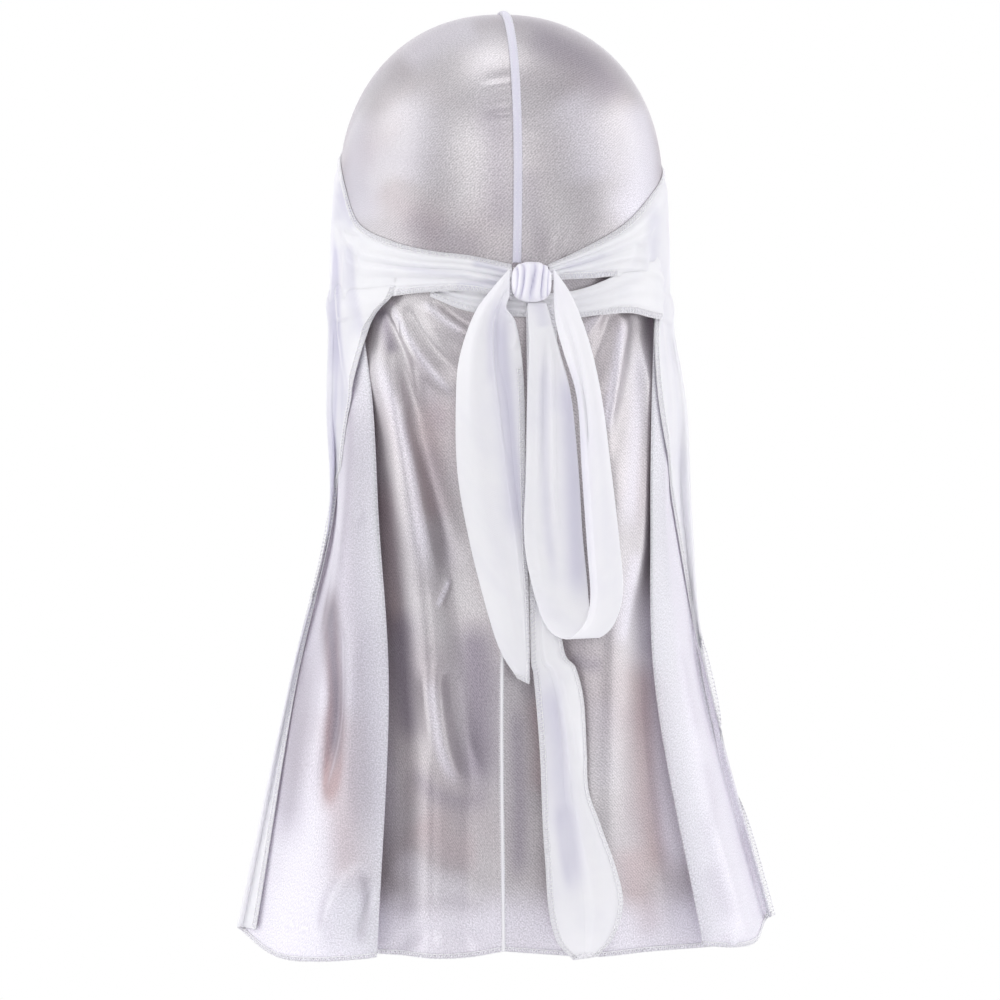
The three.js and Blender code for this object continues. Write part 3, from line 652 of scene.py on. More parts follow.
for side, name in ((1, "crown_left"), (-1, "crown_right")):
    middle = crownPanel(side)
    facing = ease(middle[..., 1], 0, 30)  # the strokes are for the back of the head alone
    marks = {mark: tinge(middle, crown[mark]) * facing[..., None] for mark in tints}
    panel = makeCloth(name + "_satin", middle, [faceLook, reverseLook], uv=crownUv(middle), marks=marks)
    declareSheet(name)
print("crown made")

# Seam over the crown

seam = {
    "width": 4.2,
    "height": 1.7,
    "aboveKnot": 9,  # its end, up from the knot's middle
    "front": 0.39,
    # a lavender painted shade over the whole ridge
    "dusk": 0.55,
    "stitch": 2.0,
    "threadRadius": 0.22,
    "threadLift": 1.6,
    "swing": (0.95, 0.35),  # the zigzag's reach, as shares of half the width
}


def crownSeamMesh():
    front = fallTo(np.array(-cloth["napeDrop"] * seam["front"])) - 0.4
    back = fallTo(np.array(-cloth["napeDrop"] * cloth["knotShare"] + seam["aboveKnot"])) - 0.4
    steps = 260
    run = (front + back) * np.linspace(0, 1, steps) - front
    turn = np.where(run < 0, 1.0, 0.0)
    sides = 9
    points = []
    for k in range(sides):
        angle = math.pi * k / (sides - 1)
        lift = 1.1 + seam["height"] * math.sin(angle) ** 0.8
        row = overHead(turn, np.abs(run), np.full(steps, lift))
        row[:, 0] = -math.cos(angle) * seam["width"] / 2
        points.append(row)
    points.append(overHead(turn, np.abs(run), np.full(steps, 0.9)))
    count = sides + 1
    faces = []
    for k in range(count):
        after = (k + 1) % count
        for i in range(steps - 1):
            faces.append((k * steps + i, after * steps + i, after * steps + i + 1, k * steps + i + 1))
    faces.append(tuple(k * steps for k in range(count - 1, -1, -1)))
    faces.append(tuple(k * steps + steps - 1 for k in range(count)))
    flat = [np.repeat(np.arange(count), steps) * 0.6 * mm, np.tile(np.abs(run) * mm, count)]
    return np.concatenate(points), faces, np.stack(flat, axis=-1), run


points, faces, flat, run = crownSeamMesh()
ridge = makeMesh("crown_seam_ridge", points, faces, [reverseLook], uv=flat,
                 marks={"dusk": np.full(len(points), seam["dusk"])})
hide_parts("crown_seam")

store = newStore()
steps = int((run[-1] - run[0]) / seam["stitch"])
at = np.linspace(run[0], run[-1], 2 * steps + 1)
turn = np.where(at < 0, 1.0, 0.0)
swing = np.where(np.arange(len(at)) % 2 == 0, *seam["swing"])
up = overHead(turn, np.abs(at), np.full(len(at), 3.0)) - overHead(turn, np.abs(at), np.full(len(at), 1.0))
for shift in (-1, 1):
    line = overHead(turn, np.abs(at), seam["threadLift"] + 1.5 * (1 - swing))
    line[:, 0] = shift * seam["width"] * 0.5 * swing
    addTube(store, line, up, seam["threadRadius"], overlock["sides"])
makeThreads("crown_seam_thread", store)
print("crown seam made")

# Straps

leftStrap = {
    "sheet": {"flat": (0.215, 0.068), "area": 0.008},
    "side": 1,
    "across": 210,
    "down": 54,
    "rows": {
        "turn": (0.008, 0.08, 0.16, 0.25, 0.36, 0.43, 0.48, 0.56, 0.64),
        "top": (0.95, 0.92, 0.9, 0.86, 0.78, 0.63, 0.55, 0.48, 0.44),
        "bottom": (1.07, 1.04, 1.04, 1.05, 1.07, 1.07, 1.05, 0.95, 0.8),
        "flareTop": (0.22, 0.22, 0.22, 0.1, 0.0, 0.0, 0.0, 0.0, 0.0),
        "flareBottom": (0.22, 0.22, 0.22, 0.3, 0.5, 0.7, 0.95, 0.42, 0.0),
    },
    # each pleat runs from the knot out: its place across the strap at the knot and at the far end,
    # its height, its half width, and how far out it dies away
    "pleats": [
        (0.16, 0.05, 0.7, 0.045, 0.75),
        (0.34, 0.30, 0.9, 0.05, 0.8),
        (0.42, 0.42, -0.7, 0.04, 0.7),
        (0.55, 0.50, 0.8, 0.05, 0.7),
        (0.68, 0.62, -0.6, 0.05, 0.6),
        (0.80, 0.80, 0.8, 0.05, 0.55),
        (0.92, 0.93, 0.6, 0.04, 0.9),
    ],
    "creases": [
        (-1.0, (3, 4), [(329, 219), (348, 233), (368, 238)]),
        (1.0, (5, 5), [(336, 238), (334, 268), (332, 305), (330, 345)]),
        (-1.2, (3, 3), [(342, 240), (341, 270), (339, 305), (340, 345)]),
        (1.2, (4, 4), [(349, 241), (348, 272), (347, 300), (346, 340)]),
        (-1.4, (3, 3), [(357, 246), (357, 262), (356, 285)]),
    ],
    # painted shade in the strap's folds, along its top edge and beside the knot
    "dusk": [
        (0.6, (8, 12), [(343, 175), (349, 205), (362, 230)]),
        (0.5, (8, 8), [(332, 190), (335, 225)]),
        (0.5, (5, 5), [(470, 262), (496, 268), (512, 274)]),
        (0.45, (5, 6), [(452, 287), (480, 284), (506, 281)]),
        (0.25, (2.5, 2.5), [(392, 266), (430, 272), (480, 277)]),
        (0.5, (3.5, 10), [(350, 240), (353, 262), (355, 296)]),
        (0.75, (3, 15), [(333, 228), (338, 262), (339, 310), (340, 350)]),
    ],
}
rightStrap = {
    "sheet": {"flat": (0.215, 0.068), "area": 0.0083},
    "side": -1,
    "across": 210,
    "down": 54,
    "rows": {
        "turn": (0.052, 0.134, 0.22, 0.31, 0.37, 0.44, 0.48, 0.56, 0.64),
        "top": (0.95, 0.88, 0.8, 0.69, 0.63, 0.57, 0.54, 0.48, 0.44),
        "bottom": (1.0, 0.99, 0.98, 1.03, 1.06, 1.07, 1.05, 0.95, 0.8),
        "flareTop": (0.22, 0.22, 0.22, 0.1, 0.0, 0.0, 0.0, 0.0, 0.0),
        "flareBottom": (0.22, 0.22, 0.24, 0.42, 0.44, 0.66, 0.86, 0.42, 0.0),
    },
    "sinks": (0.19, 0.34),  # the turns between which its lower edge lies close on the crown
    "pleats": [
        (0.15, 0.12, 0.7, 0.05, 0.8),
        (0.35, 0.26, 0.8, 0.06, 0.7),
        (0.50, 0.42, -0.6, 0.05, 0.7),
        (0.65, 0.55, 0.8, 0.06, 0.6),
        (0.85, 0.78, 0.7, 0.06, 0.6),
    ],
    "creases": [
        (0.9, (4, 4), [(655, 215), (648, 240), (646, 268), (648, 300)]),
        (-0.7, (4, 4), [(640, 240), (636, 258), (630, 272)]),
        (-0.9, (3, 3), [(650, 250), (652, 290), (655, 330)]),
    ],
    # painted shade along the strap's folds
    "dusk": [
        (0.45, (9, 7), [(656, 200), (654, 240), (660, 300)]),
        (0.3, (3, 3), [(560, 268), (585, 262), (612, 252)]),
        (0.3, (3, 3), [(566, 276), (590, 274), (620, 272)]),
    ],
}
strapFlare = 8.3  # how far off the crown an edge with a flare of 1 stands
strapRipple = 0.3
strapSink = 0.15
strapTuck = 1.5  # the top edge lies close on the crown


def strapLift(strap, place, v):
    top, bottom = (smooth(strap["rows"][column], place) for column in ("flareTop", "flareBottom"))
    flare = top + (bottom - top) * v ** 1.5
    tucked = (strapTuck + strapFlare * top) * (1 - ease(v, 0, 0.2))
    return cloth["overLift"] + strapRipple + strapFlare * flare - tucked


def strapMiddle(strap):
    u, v = grid(strap["across"], strap["down"])
    place = 1 - u if strap["side"] > 0 else u
    top, bottom = (-cloth["napeDrop"] * smooth(strap["rows"][column], place) for column in ("top", "bottom"))
    lift = strapLift(strap, place, v)
    for start, end, height, half, reach in strap["pleats"]:
        at = start + (end - start) * place
        lift = lift + height * np.exp(-((v - at) / half) ** 2) * (1 - ease(place, reach * 0.5, reach))
    turn = smooth(strap["rows"]["turn"], place)
    if "sinks" in strap:
        first, last = strap["sinks"]
        sunk = ease(turn, first, first + 0.06) * (1 - ease(turn, last, last + 0.06))
        lift = lift - 2.4 * sunk * ease(v, 0.72, 1)
    strap["turns"] = turn[:, 0]
    return overHead(strap["side"] * turn, fallTo(top + (bottom - top) * v), lift - strapSink)


for strap, hand in ((leftStrap, "left"), (rightStrap, "right")):
    middle = strap["middle"] = crease(strapMiddle(strap), strap["creases"])
    piece = makeCloth(f"wrap_{hand}_cloth", middle, [reverseLook, faceLook],
                      marks={"dusk": tinge(middle, strap["dusk"])})
    declareSheet(f"wrap_{hand}")
print("straps made")

hemBand = {
    "sheet": {"flat": (0.23, 0.036), "area": 0.0071},
    "rows": {
        "turn": (-0.641, -0.8, -1.0, -1.2, -1.359),
        "top": (0.44, 0.4, 0.39, 0.4, 0.44),
        "bottom": (0.8, 0.66, 0.59, 0.66, 0.8),
    },
    "across": 160,
    "down": 26,
}
underBand = {
    "sheet": {"flat": (0.14, 0.026), "area": 0.0026},
    "rows": {  # its right end comes out from under the strap and goes into the turned side
        "turn": (0.16, 0.08, -0.02, -0.1, -0.17, -0.24, -0.3, -0.345, -0.38),
        "top": (1.0, 1.03, 1.05, 1.04, 1.0, 0.94, 0.89, 0.92, 0.99),
        "bottom": (1.055, 1.11, 1.13, 1.13, 1.115, 1.105, 1.115, 1.12, 1.11),
        "stand": (0.0, 0.0, 0.0, 0.2, 1.4, 3.2, 4.8, 6.6, 1.5),
    },
    "across": 170,
    "down": 40,
}


def bandMiddle(band, pleats):
    u, v = grid(band["across"], band["down"])
    rows = band["rows"]
    top = smooth(rows["top"], u)
    z = -cloth["napeDrop"] * (top + (smooth(rows["bottom"], u) - top) * v)
    stand = smooth(rows["stand"], u) if "stand" in rows else 0
    lift = cloth["overLift"] + pleats(u, v) + stand
    return overHead(smooth(rows["turn"], u), fallTo(z), lift)


def hemPleats(u, v):
    # one fold under the top edge, and ends that meet the straps'
    fold = 0.25 * np.exp(-((v - 0.12) / 0.04) ** 2)
    return fold + strapRipple - strapSink - strapTuck * (1 - ease(v, 0, 0.2))


def underPleats(u, v):
    waves = (0.35 * np.sin(v * 9 + 3 * u) + 0.3 * np.sin(v * 21 - 5 * u)) * ease(v, 0, 0.2)
    return waves - 0.2 - 3.2 * ease(u, 0.5, 0.7) * (1 - ease(v, 0, 0.34))


piece = makeCloth("front_hem_cloth", bandMiddle(hemBand, hemPleats), [reverseLook, faceLook])
declareSheet("front_hem")
underMiddle = bandMiddle(underBand, underPleats)
piece = makeCloth("wrap_under_cloth", underMiddle, [reverseLook, faceLook])
declareSheet("wrap_under")
print("bands made")

# Knot

knot = {
    "width": 19.5,
    "depth": 17,
    "height": 18.5,
    "x": -6,
    "level": -cloth["napeDrop"] * cloth["knotShare"],
    "pleats": 7,
    "pleatDepth": 1.5,
    "fineDepth": 0.5,
    "rings": 72,
    "turns": 144,
    # painted shade over the knot, deeper in its pleats
    "dusk": 0.08,
    "paintedShadeInPleats": 4.5,
}
knotBack = head["length"] / 2 - head["napeTuck"] + cloth["overLift"] + 1.0
tieBack = knotBack - 0.4
knotY = knotBack + knot["depth"] / 2


def knotMesh():
    rings, turns = knot["rings"], knot["turns"]
    points = []
    pleatShade = []  # painted shade, more of it deeper in a pleat
    for i in range(rings + 1):
        tilt = math.pi * (0.002 + 0.996 * i / rings)
        angle = np.linspace(0, 2 * math.pi, turns, endpoint=False)
        x = math.sin(tilt) * np.cos(angle)
        y = math.sin(tilt) * np.sin(angle)
        z = np.full(turns, math.cos(tilt))
        across = np.arcsin(np.clip(x, -1, 1)) / math.pi
        slant = across * knot["pleats"] + 0.12 * z + 0.1 * np.sin(3 * z)
        pleat = np.abs(np.sin(math.pi * slant)) ** 0.7
        fine = 0.35 * np.abs(np.sin(math.pi * (2.3 * slant + 0.3)))
        groove = (knot["pleatDepth"] * (1 - pleat) + knot["fineDepth"] * (0.35 - fine)) / (knot["depth"] / 2)
        groove = groove * np.sqrt(np.maximum(0, 1 - z ** 2)) * ease(y, -0.3, 0.3)
        groove = groove * (1 - ease(np.abs(x), 0.7, 0.97))
        waist = 1 - 0.06 * np.cos(2.2 * z)
        full = np.stack([
            signedPower(x, 0.8) * waist * knot["width"] / 2,
            signedPower(y, 0.75) * knot["depth"] / 2,
            signedPower(z, 0.75) * knot["height"] / 2,
        ], axis=-1)
        full *= (1 - groove)[:, None]
        points.append(full)
        pleatShade.append(knot["dusk"] + knot["paintedShadeInPleats"] * groove)
    points = np.concatenate(points) + np.array([knot["x"], knotY, knot["level"]])
    faces = []
    for i in range(rings):
        for k in range(turns):
            after = (k + 1) % turns
            faces.append((i * turns + after, (i + 1) * turns + after, (i + 1) * turns + k, i * turns + k))
    faces.append(tuple(range(turns)))
    faces.append(tuple(rings * turns + k for k in range(turns - 1, -1, -1)))
    uv = np.stack([points[:, 0], points[:, 2]], axis=-1) * mm
    return points, faces, uv, np.clip(np.concatenate(pleatShade), 0, 1)


points, faces, uv, pleatShade = knotMesh()
piece = makeMesh("knot_wrap", points, faces, [reverseLook], uv=uv, marks={"dusk": pleatShade})
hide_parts("knot")
print("knot made")

# Tails and loop. A row is a section from the outer edge to the inner edge: the outer edge's way out
# as a share of the width and its fall as a share of the length, the inner edge's, how far the two
# stand behind the knot's back as shares of its depth, where the front layer ends, and its swell

leftTail = {
    "sheet": {"flat": (0.034, 0.19), "area": 0.0051},
    "side": 1, "width": 34, "length": 186, "across": 60, "down": 190,
    "rows": [
        (0.30, -0.03, 0.30, 0.034, 0.49, 0.49, 0.50, 0.0),
        (0.50, 0.012, 0.34, 0.066, 0.43, 0.43, 0.46, 0.5),
        (0.75, 0.077, 0.21, 0.098, 0.16, 0.16, 0.44, 0.9),
        (0.95, 0.184, 0.12, 0.18, -0.01, -0.01, 0.50, 1.0),
        (1.00, 0.295, 0.08, 0.29, -0.05, -0.05, 0.62, 1.0),
        (0.98, 0.47, 0.06, 0.47, -0.05, -0.05, 0.70, 0.9),
        (0.82, 0.64, 0.04, 0.64, -0.05, -0.05, 0.78, 0.8),
        (0.60, 0.80, 0.02, 0.80, -0.05, -0.05, 0.84, 0.6),
        (0.40, 0.915, 0.01, 0.915, -0.05, -0.05, 0.86, 0.4),
        (0.17, 0.985, 0.01, 1.0, -0.05, -0.05, 0.86, 0.1),
    ],
    "creases": [
        (-1.2, (3, 3), [(503, 292), (497, 327), (498, 365), (505, 430), (511, 480)]),
        (1.0, (3, 3), [(512, 320), (516, 335), (514, 352)]),
        (0.7, (6, 5), [(488, 300), (478, 330), (473, 380), (474, 440)]),
        (0.6, (5, 5), [(500, 560), (510, 610), (520, 660)]),
    ],
    # painted shade on the inner strands
    "dusk": [
        (0.65, (7, 14), [(506, 286), (504, 335), (509, 400), (516, 470), (522, 560)]),
        (0.25, (4, 4), [(499, 292), (491, 330), (491, 390)]),
        (0.08, (8, 8), [(480, 400), (488, 500), (505, 590)]),
    ],
}
loop = {
    "sheet": {"flat": (0.026, 0.31), "area": 0.0059},
    "side": -1, "width": 42, "length": 165, "across": 56, "down": 260,
    "rows": [
        (0.25, -0.035, 0.25, 0.032, 0.49, 0.49, 0.8, 0.0),
        (0.45, 0.047, 0.27, 0.105, 0.59, 0.53, 0.8, 0.3),
        (0.635, 0.178, 0.37, 0.20, 0.69, 0.59, 0.8, 0.4),
        (0.765, 0.332, 0.51, 0.332, 0.76, 0.64, 0.8, 0.5),
        (0.865, 0.53, 0.56, 0.53, 0.76, 0.64, 0.8, 0.5),
        (0.955, 0.723, 0.62, 0.74, 0.71, 0.59, 0.8, 0.4),
        (1.00, 0.868, 0.66, 0.887, 0.59, 0.51, 0.8, 0.3),
        (0.905, 0.96, 0.585, 0.963, 0.47, 0.41, 0.8, 0.1),
        (0.74, 0.996, 0.38, 1.0, 0.33, 0.29, 0.8, 0.0),
        (0.665, 0.948, 0.165, 0.957, 0.18, 0.17, 0.8, 0.0),
        (0.62, 0.832, 0.0, 0.82, 0.16, 0.14, 0.8, 0.1),
        (0.57, 0.70, -0.06, 0.70, 0.16, 0.14, 0.8, 0.1),
        (0.53, 0.53, -0.04, 0.54, 0.16, 0.14, 0.8, 0.1),
        (0.45, 0.33, -0.025, 0.33, 0.16, 0.14, 0.8, 0.1),
        (0.31, 0.19, -0.01, 0.19, 0.21, 0.21, 0.8, 0.1),
        (0.17, 0.06, -0.03, 0.06, 0.31, 0.31, 0.8, 0.0),
    ],
    "creases": [
        (-1.0, (3, 3), [(562, 305), (574, 340), (582, 372), (588, 420), (590, 470)]),
        (1.0, (4, 4), [(556, 320), (562, 350), (568, 385), (570, 430)]),
        (0.8, (2.5, 2.5), [(551, 334), (553, 416), (555, 505), (562, 555)]),
        (-0.9, (4, 4), [(548, 320), (545, 400), (544, 480)]),
        (0.6, (3, 3), [(540, 330), (538, 420), (538, 500)]),
    ],
    # painted shade inside the loop
    "dusk": [
        (0.65, (15, 12), [(566, 350), (571, 420), (575, 500), (578, 580), (580, 620)]),
        (0.4, (6, 6), [(546, 330), (545, 420), (548, 520), (558, 600)]),
        (0.35, (8, 8), [(541, 300), (543, 315), (545, 330)]),
        (0.12, (6, 6), [(602, 420), (606, 500), (608, 580)]),
    ],
}
longTail = {
    "sheet": {"flat": (0.032, 0.31), "area": 0.0064},
    "side": -1, "width": 44, "length": 315, "across": 56, "down": 230,
    "rows": [
        (0.15, 0.031, -0.045, 0.031, 0.10, 0.10, 0.6, 0.0),
        (0.27, 0.06, -0.03, 0.06, 0.07, 0.07, 0.6, 0.0),
        (0.31, 0.32, 0.0, 0.32, -0.11, -0.11, 0.6, 0.2),
        (0.34, 0.525, 0.02, 0.537, -0.11, -0.11, 0.6, 0.4),
        (0.49, 0.57, 0.05, 0.575, -0.11, -0.11, 0.5, 0.5),
        (0.57, 0.617, 0.08, 0.617, -0.11, -0.11, 0.45, 0.6),
        (0.60, 0.69, 0.12, 0.69, -0.11, -0.11, 0.4, 0.6),
        (0.625, 0.75, 0.14, 0.75, -0.15, -0.15, 0.4, 0.5),
        (0.75, 0.80, 0.155, 0.80, -0.19, -0.19, 0.4, 0.5),
        (0.925, 0.868, 0.185, 0.861, -0.23, -0.23, 0.4, 0.5),
        (0.995, 0.918, 0.22, 0.925, -0.25, -0.25, 0.4, 0.4),
        (0.91, 0.963, 0.307, 0.972, -0.26, -0.26, 0.4, 0.3),
        (0.73, 0.995, 0.477, 1.0, -0.26, -0.26, 0.4, 0.1),
    ],
    "creases": [
        (1.4, (5, 3), [(563, 672), (572, 715), (581, 775)]),
        (-1.0, (4, 4), [(556, 680), (562, 730), (572, 790), (580, 850)]),
        (-2.0, (11, 11), [(562, 800), (572, 850), (572, 890)]),
    ],
    # painted shade in the tail's hollow
    "dusk": [
        (0.55, (11, 15), [(548, 660), (556, 720), (564, 790), (574, 850), (577, 915)]),
        (0.2, (5, 5), [(558, 800), (562, 850), (572, 895)]),
    ],
}
tieSwell = 5


def foldedSection(across, fold):
    step = 0.12
    drop = 0.8
    before = np.sin(math.pi / 2 * np.minimum(1, 2 * across / fold))
    past = np.clip((across - fold) / step, 0, 1)
    rest = np.maximum(0, (across - fold - step) / (1 - fold - step))
    return np.where(across < fold, before, (1 - drop * past) * (1 - rest))


def stripMiddle(strip):
    u, v = grid(strip["across"], strip["down"])
    across = u if strip["side"] > 0 else 1 - u
    rows = np.array(strip["rows"])
    out, outFall, inner, inFall, outStand, inStand, fold, swell = (smooth(rows[:, k], v) for k in range(8))
    height = tieSwell * swell * foldedSection(across, fold)
    return np.stack([
        knot["x"] + strip["side"] * strip["width"] * (out + (inner - out) * across),
        tieBack + knot["depth"] * (outStand + (inStand - outStand) * across) + height,
        knot["level"] - strip["length"] * (outFall + (inFall - outFall) * across),
    ], axis=-1)


for strip, name in ((leftTail, "tie_tail_left"), (loop, "tie_loop"), (longTail, "tie_tail_long")):
    middle = strip["middle"] = crease(stripMiddle(strip), strip["creases"])
    piece = makeCloth(name + "_cloth", middle, [reverseLook, reverseLook],
                      marks={"dusk": tinge(middle, strip["dusk"])})
    declareSheet(name)
print("tails made")

# Cape. Each half has one row for each fold line from the middle seam to the side edge that turns
# over outwards: whether its top hangs from the crown or the strap, its turn round the head and its
# lift at the top and at the nape, and then its side and back at four levels down to the hem

levelShare = [0.13, 0.32, 0.57, 1]  # how far down from the nape to the hem
levelSpread = [0.12, 0.14, 0.48, 1]  # how much of the hem's extra width is there
levelCrowding = 0.75
napeEnd = cloth["napeDrop"] * 1.13
leftCape = {
    "sheet": {"flat": (0.30, 0.34), "area": 0.067},
    "side": 1,
    "strap": leftStrap,
    "folds": [
        ("crown", 0.007, 0.007, 0, 0, (0.04, 0.05, 0.06, 0.04), (0.89, 0.89, 0.88, 0.86), 0.993),
        ("crown", 0.20, 0.205, 0, 0, (0.54, 0.39, 0.22, 0.16), (0.81, 0.83, 0.83, 0.81), 1.0),
        ("crown", 0.27, 0.275, 0, 0, (0.64, 0.53, 0.37, 0.285), (0.79, 0.87, 0.88, 0.85), 1.0),
        ("crown", 0.33, 0.335, 0, 0, (0.75, 0.69, 0.51, 0.40), (0.64, 0.72, 0.72, 0.70), 1.0),
        ("crown", 0.37, 0.385, 0, 0.15, (0.85, 0.87, 0.70, 0.62), (0.555, 0.59, 0.59, 0.54), 1.0),
        ("crown", 0.385, 0.345, 0, 0.50, (0.785, 0.745, 0.57, 0.49), (0.67, 0.755, 0.775, 0.755), 1.0),
        ("crown", 0.42, 0.405, 0, 0.50, (0.875, 0.90, 0.81, 0.70), (0.575, 0.585, 0.575, 0.555), 1.01),
        ("strap", 0.455, 0.45, 0, 0.45, (0.935, 0.945, 0.89, 0.84), (0.32, 0.36, 0.36, 0.34), 1.01),
        ("strap", 0.485, 0.487, 0.85, 0.90, (0.985, 0.955, 0.965, 0.962), (0.075, 0.09, 0.08, 0.04), 0.99),
        ("strap", 0.475, 0.475, 1.18, 1.22, (1.013, 0.988, 0.99, 0.98), (0.105, 0.11, 0.10, 0.07), 0.985),
        ("strap", 0.42, 0.42, 0.90, 0.94, (0.96, 0.986, 0.984, 0.962), (0.30, 0.135, 0.125, 0.10), 0.985),
        ("strap", 0.235, 0.30, 0.56, 0.60, (0.90, 0.972, 0.962, 0.914), (0.535, 0.155, 0.155, 0.16), 0.985),
    ],
    "creases": [
        ((0, 0.36), [  # under the strap's corner, the cloth pulls from the side down to the middle
            (4.0, (12, 20), [(372, 327), (386, 378), (403, 428), (414, 499), (425, 555), (431, 597)]),
            (-3.0, (8, 9), [(392, 300), (397, 330), (408, 375), (424, 428)]),
            (2.6, (7, 6), [(390, 297), (400, 320), (420, 355), (440, 380), (457, 398)]),
            (-2.0, (6, 6), [(408, 300), (422, 328), (444, 357), (466, 376)]),
            (2.2, (6, 6), [(423, 300), (445, 320), (465, 333), (485, 348)]),
            (-1.5, (5, 5), [(438, 297), (458, 316), (480, 330)]),
            (-3.2, (14, 12), [(406, 400), (431, 470), (451, 541), (453, 569)]),
            (1.0, (3, 3), [(451, 577), (445, 592), (437, 608)]),
            (2.6, (11, 9), [(431, 660), (434, 700), (442, 748), (460, 785), (480, 796)]),
            (-2.2, (10, 12), [(452, 660), (460, 710), (474, 760), (490, 775)]),
            (-1.6, (7, 7), [(387, 958), (410, 938), (440, 930), (470, 936), (486, 958)]),
        ]),
        ((0.44, 0.78), [  # the band beside the deep fold
            (-4.6, (10, 8), [(332, 600), (334, 660), (334, 721), (320, 782), (316, 830)]),
            (2.0, (12, 12), [(361, 610), (356, 690), (352, 770), (356, 850)]),
            (3.4, (7, 7), [(374, 868), (352, 880), (337, 903), (328, 934), (334, 951)]),
            (-2.6, (6, 6), [(370, 884), (365, 905), (358, 925), (352, 942)]),
            (1.0, (3, 3), [(366, 510), (360, 520), (354, 532)]),
        ]),
    ],
    # the turned side's nearer layer stands out, with a fold line beside the further one
    "turnedCreases": [
        ((0.84, 1.1), [
            (1.5, (1.5, 2.0), [(351, 410), (342, 350), (338, 300), (334, 255)]),
        ]),
    ],
    "paleBand": 0.85,
    # painted shade in the folds, under the strap's corner and beside the band's edge
    "dusk": [
        (0.9, (24, 18), [(472, 610), (477, 690), (477, 760), (464, 800)]),
        (0.75, (12, 13), [(402, 600), (405, 680), (414, 750)]),
        (0.5, (10, 10), [(408, 765), (435, 793), (470, 802), (496, 792)]),
        (0.8, (7, 8), [(384, 303), (388, 330), (396, 358)]),
        (0.35, (8, 9), [(426, 430), (440, 500), (449, 545), (452, 585)]),
        (0.25, (7, 8), [(386, 460), (392, 530), (400, 610)]),
        (0.3, (8, 10), [(412, 345), (432, 395), (446, 440)]),
        (0.2, (8, 8), [(388, 915), (420, 905), (460, 902), (490, 915)]),
        # the band
        (0.4, (24, 20), [(362, 360), (358, 470), (352, 560), (358, 660), (366, 760), (370, 880)]),
        (0.85, (8, 8), [(330, 570), (334, 650), (338, 705), (334, 780)]),
        (0.5, (15, 15), [(318, 560), (308, 640), (300, 720), (293, 790), (282, 860)]),
        (0.5, (6, 5), [(360, 866), (367, 890), (367, 915), (358, 948)]),
        (0.3, (4, 4), [(344, 872), (326, 900), (321, 935)]),
        # the turned side: the further layer, then the fold beside the strap's corner
        (0.9, (3, 17), [(333, 232), (338, 277), (341, 344), (347, 382), (350, 430)]),
        (0.5, (3.5, 10), [(350, 244), (354, 288), (361, 318), (366, 345)]),
        (0.6, (14, 14), [(342, 380), (334, 470), (325, 540), (312, 610)]),
    ],
    # warm painted shade in the valleys and recesses
    "warmTintAndPaintedShade": [
        (1.2, (8, 8), [(330, 570), (333, 640), (337, 700), (333, 770), (326, 820)]),
        (0.6, (26, 20), [(336, 690), (340, 780), (346, 850), (350, 910)]),
        (0.22, (16, 14), [(304, 640), (300, 720), (290, 800)]),
        (0.3, (16, 16), [(440, 390), (430, 440), (436, 530)]),
        (0.25, (24, 20), [(415, 815), (450, 850), (485, 850)]),
        (0.35, (9, 9), [(385, 470), (392, 560), (398, 650)]),
    ],
    # painted highlights along the ridges, fold edges and curl, and towards the hem
    "paleFinishAndPaintedHighlight": [
        (0.5, (6, 9), [(374, 340), (389, 388), (403, 432), (414, 482), (423, 540), (430, 585)]),
        (0.45, (5, 5), [(431, 673), (436, 721), (447, 766), (462, 786)]),
        (0.5, (3, 3), [(390, 297), (400, 320), (420, 355), (440, 380), (457, 398)]),
        (0.4, (3, 3), [(423, 300), (445, 320), (465, 333)]),
        (0.7, (1.6, 1.6), [(451, 577), (445, 592), (437, 608)]),
        (0.7, (1.6, 1.6), [(366, 510), (360, 520), (354, 532)]),
        (0.4, (13, 9), [(362, 400), (366, 520), (373, 640), (380, 720), (385, 800), (386, 880)]),
        (0.9, (6, 6), [(372, 866), (350, 880), (334, 906), (330, 945)]),
        (0.5, (20, 18), [(238, 925), (280, 945), (330, 955), (372, 945)]),
        (0.4, (14, 14), [(270, 800), (258, 850), (250, 910)]),
        (0.25, (18, 18), [(396, 850), (430, 880), (478, 886)]),
    ],
}
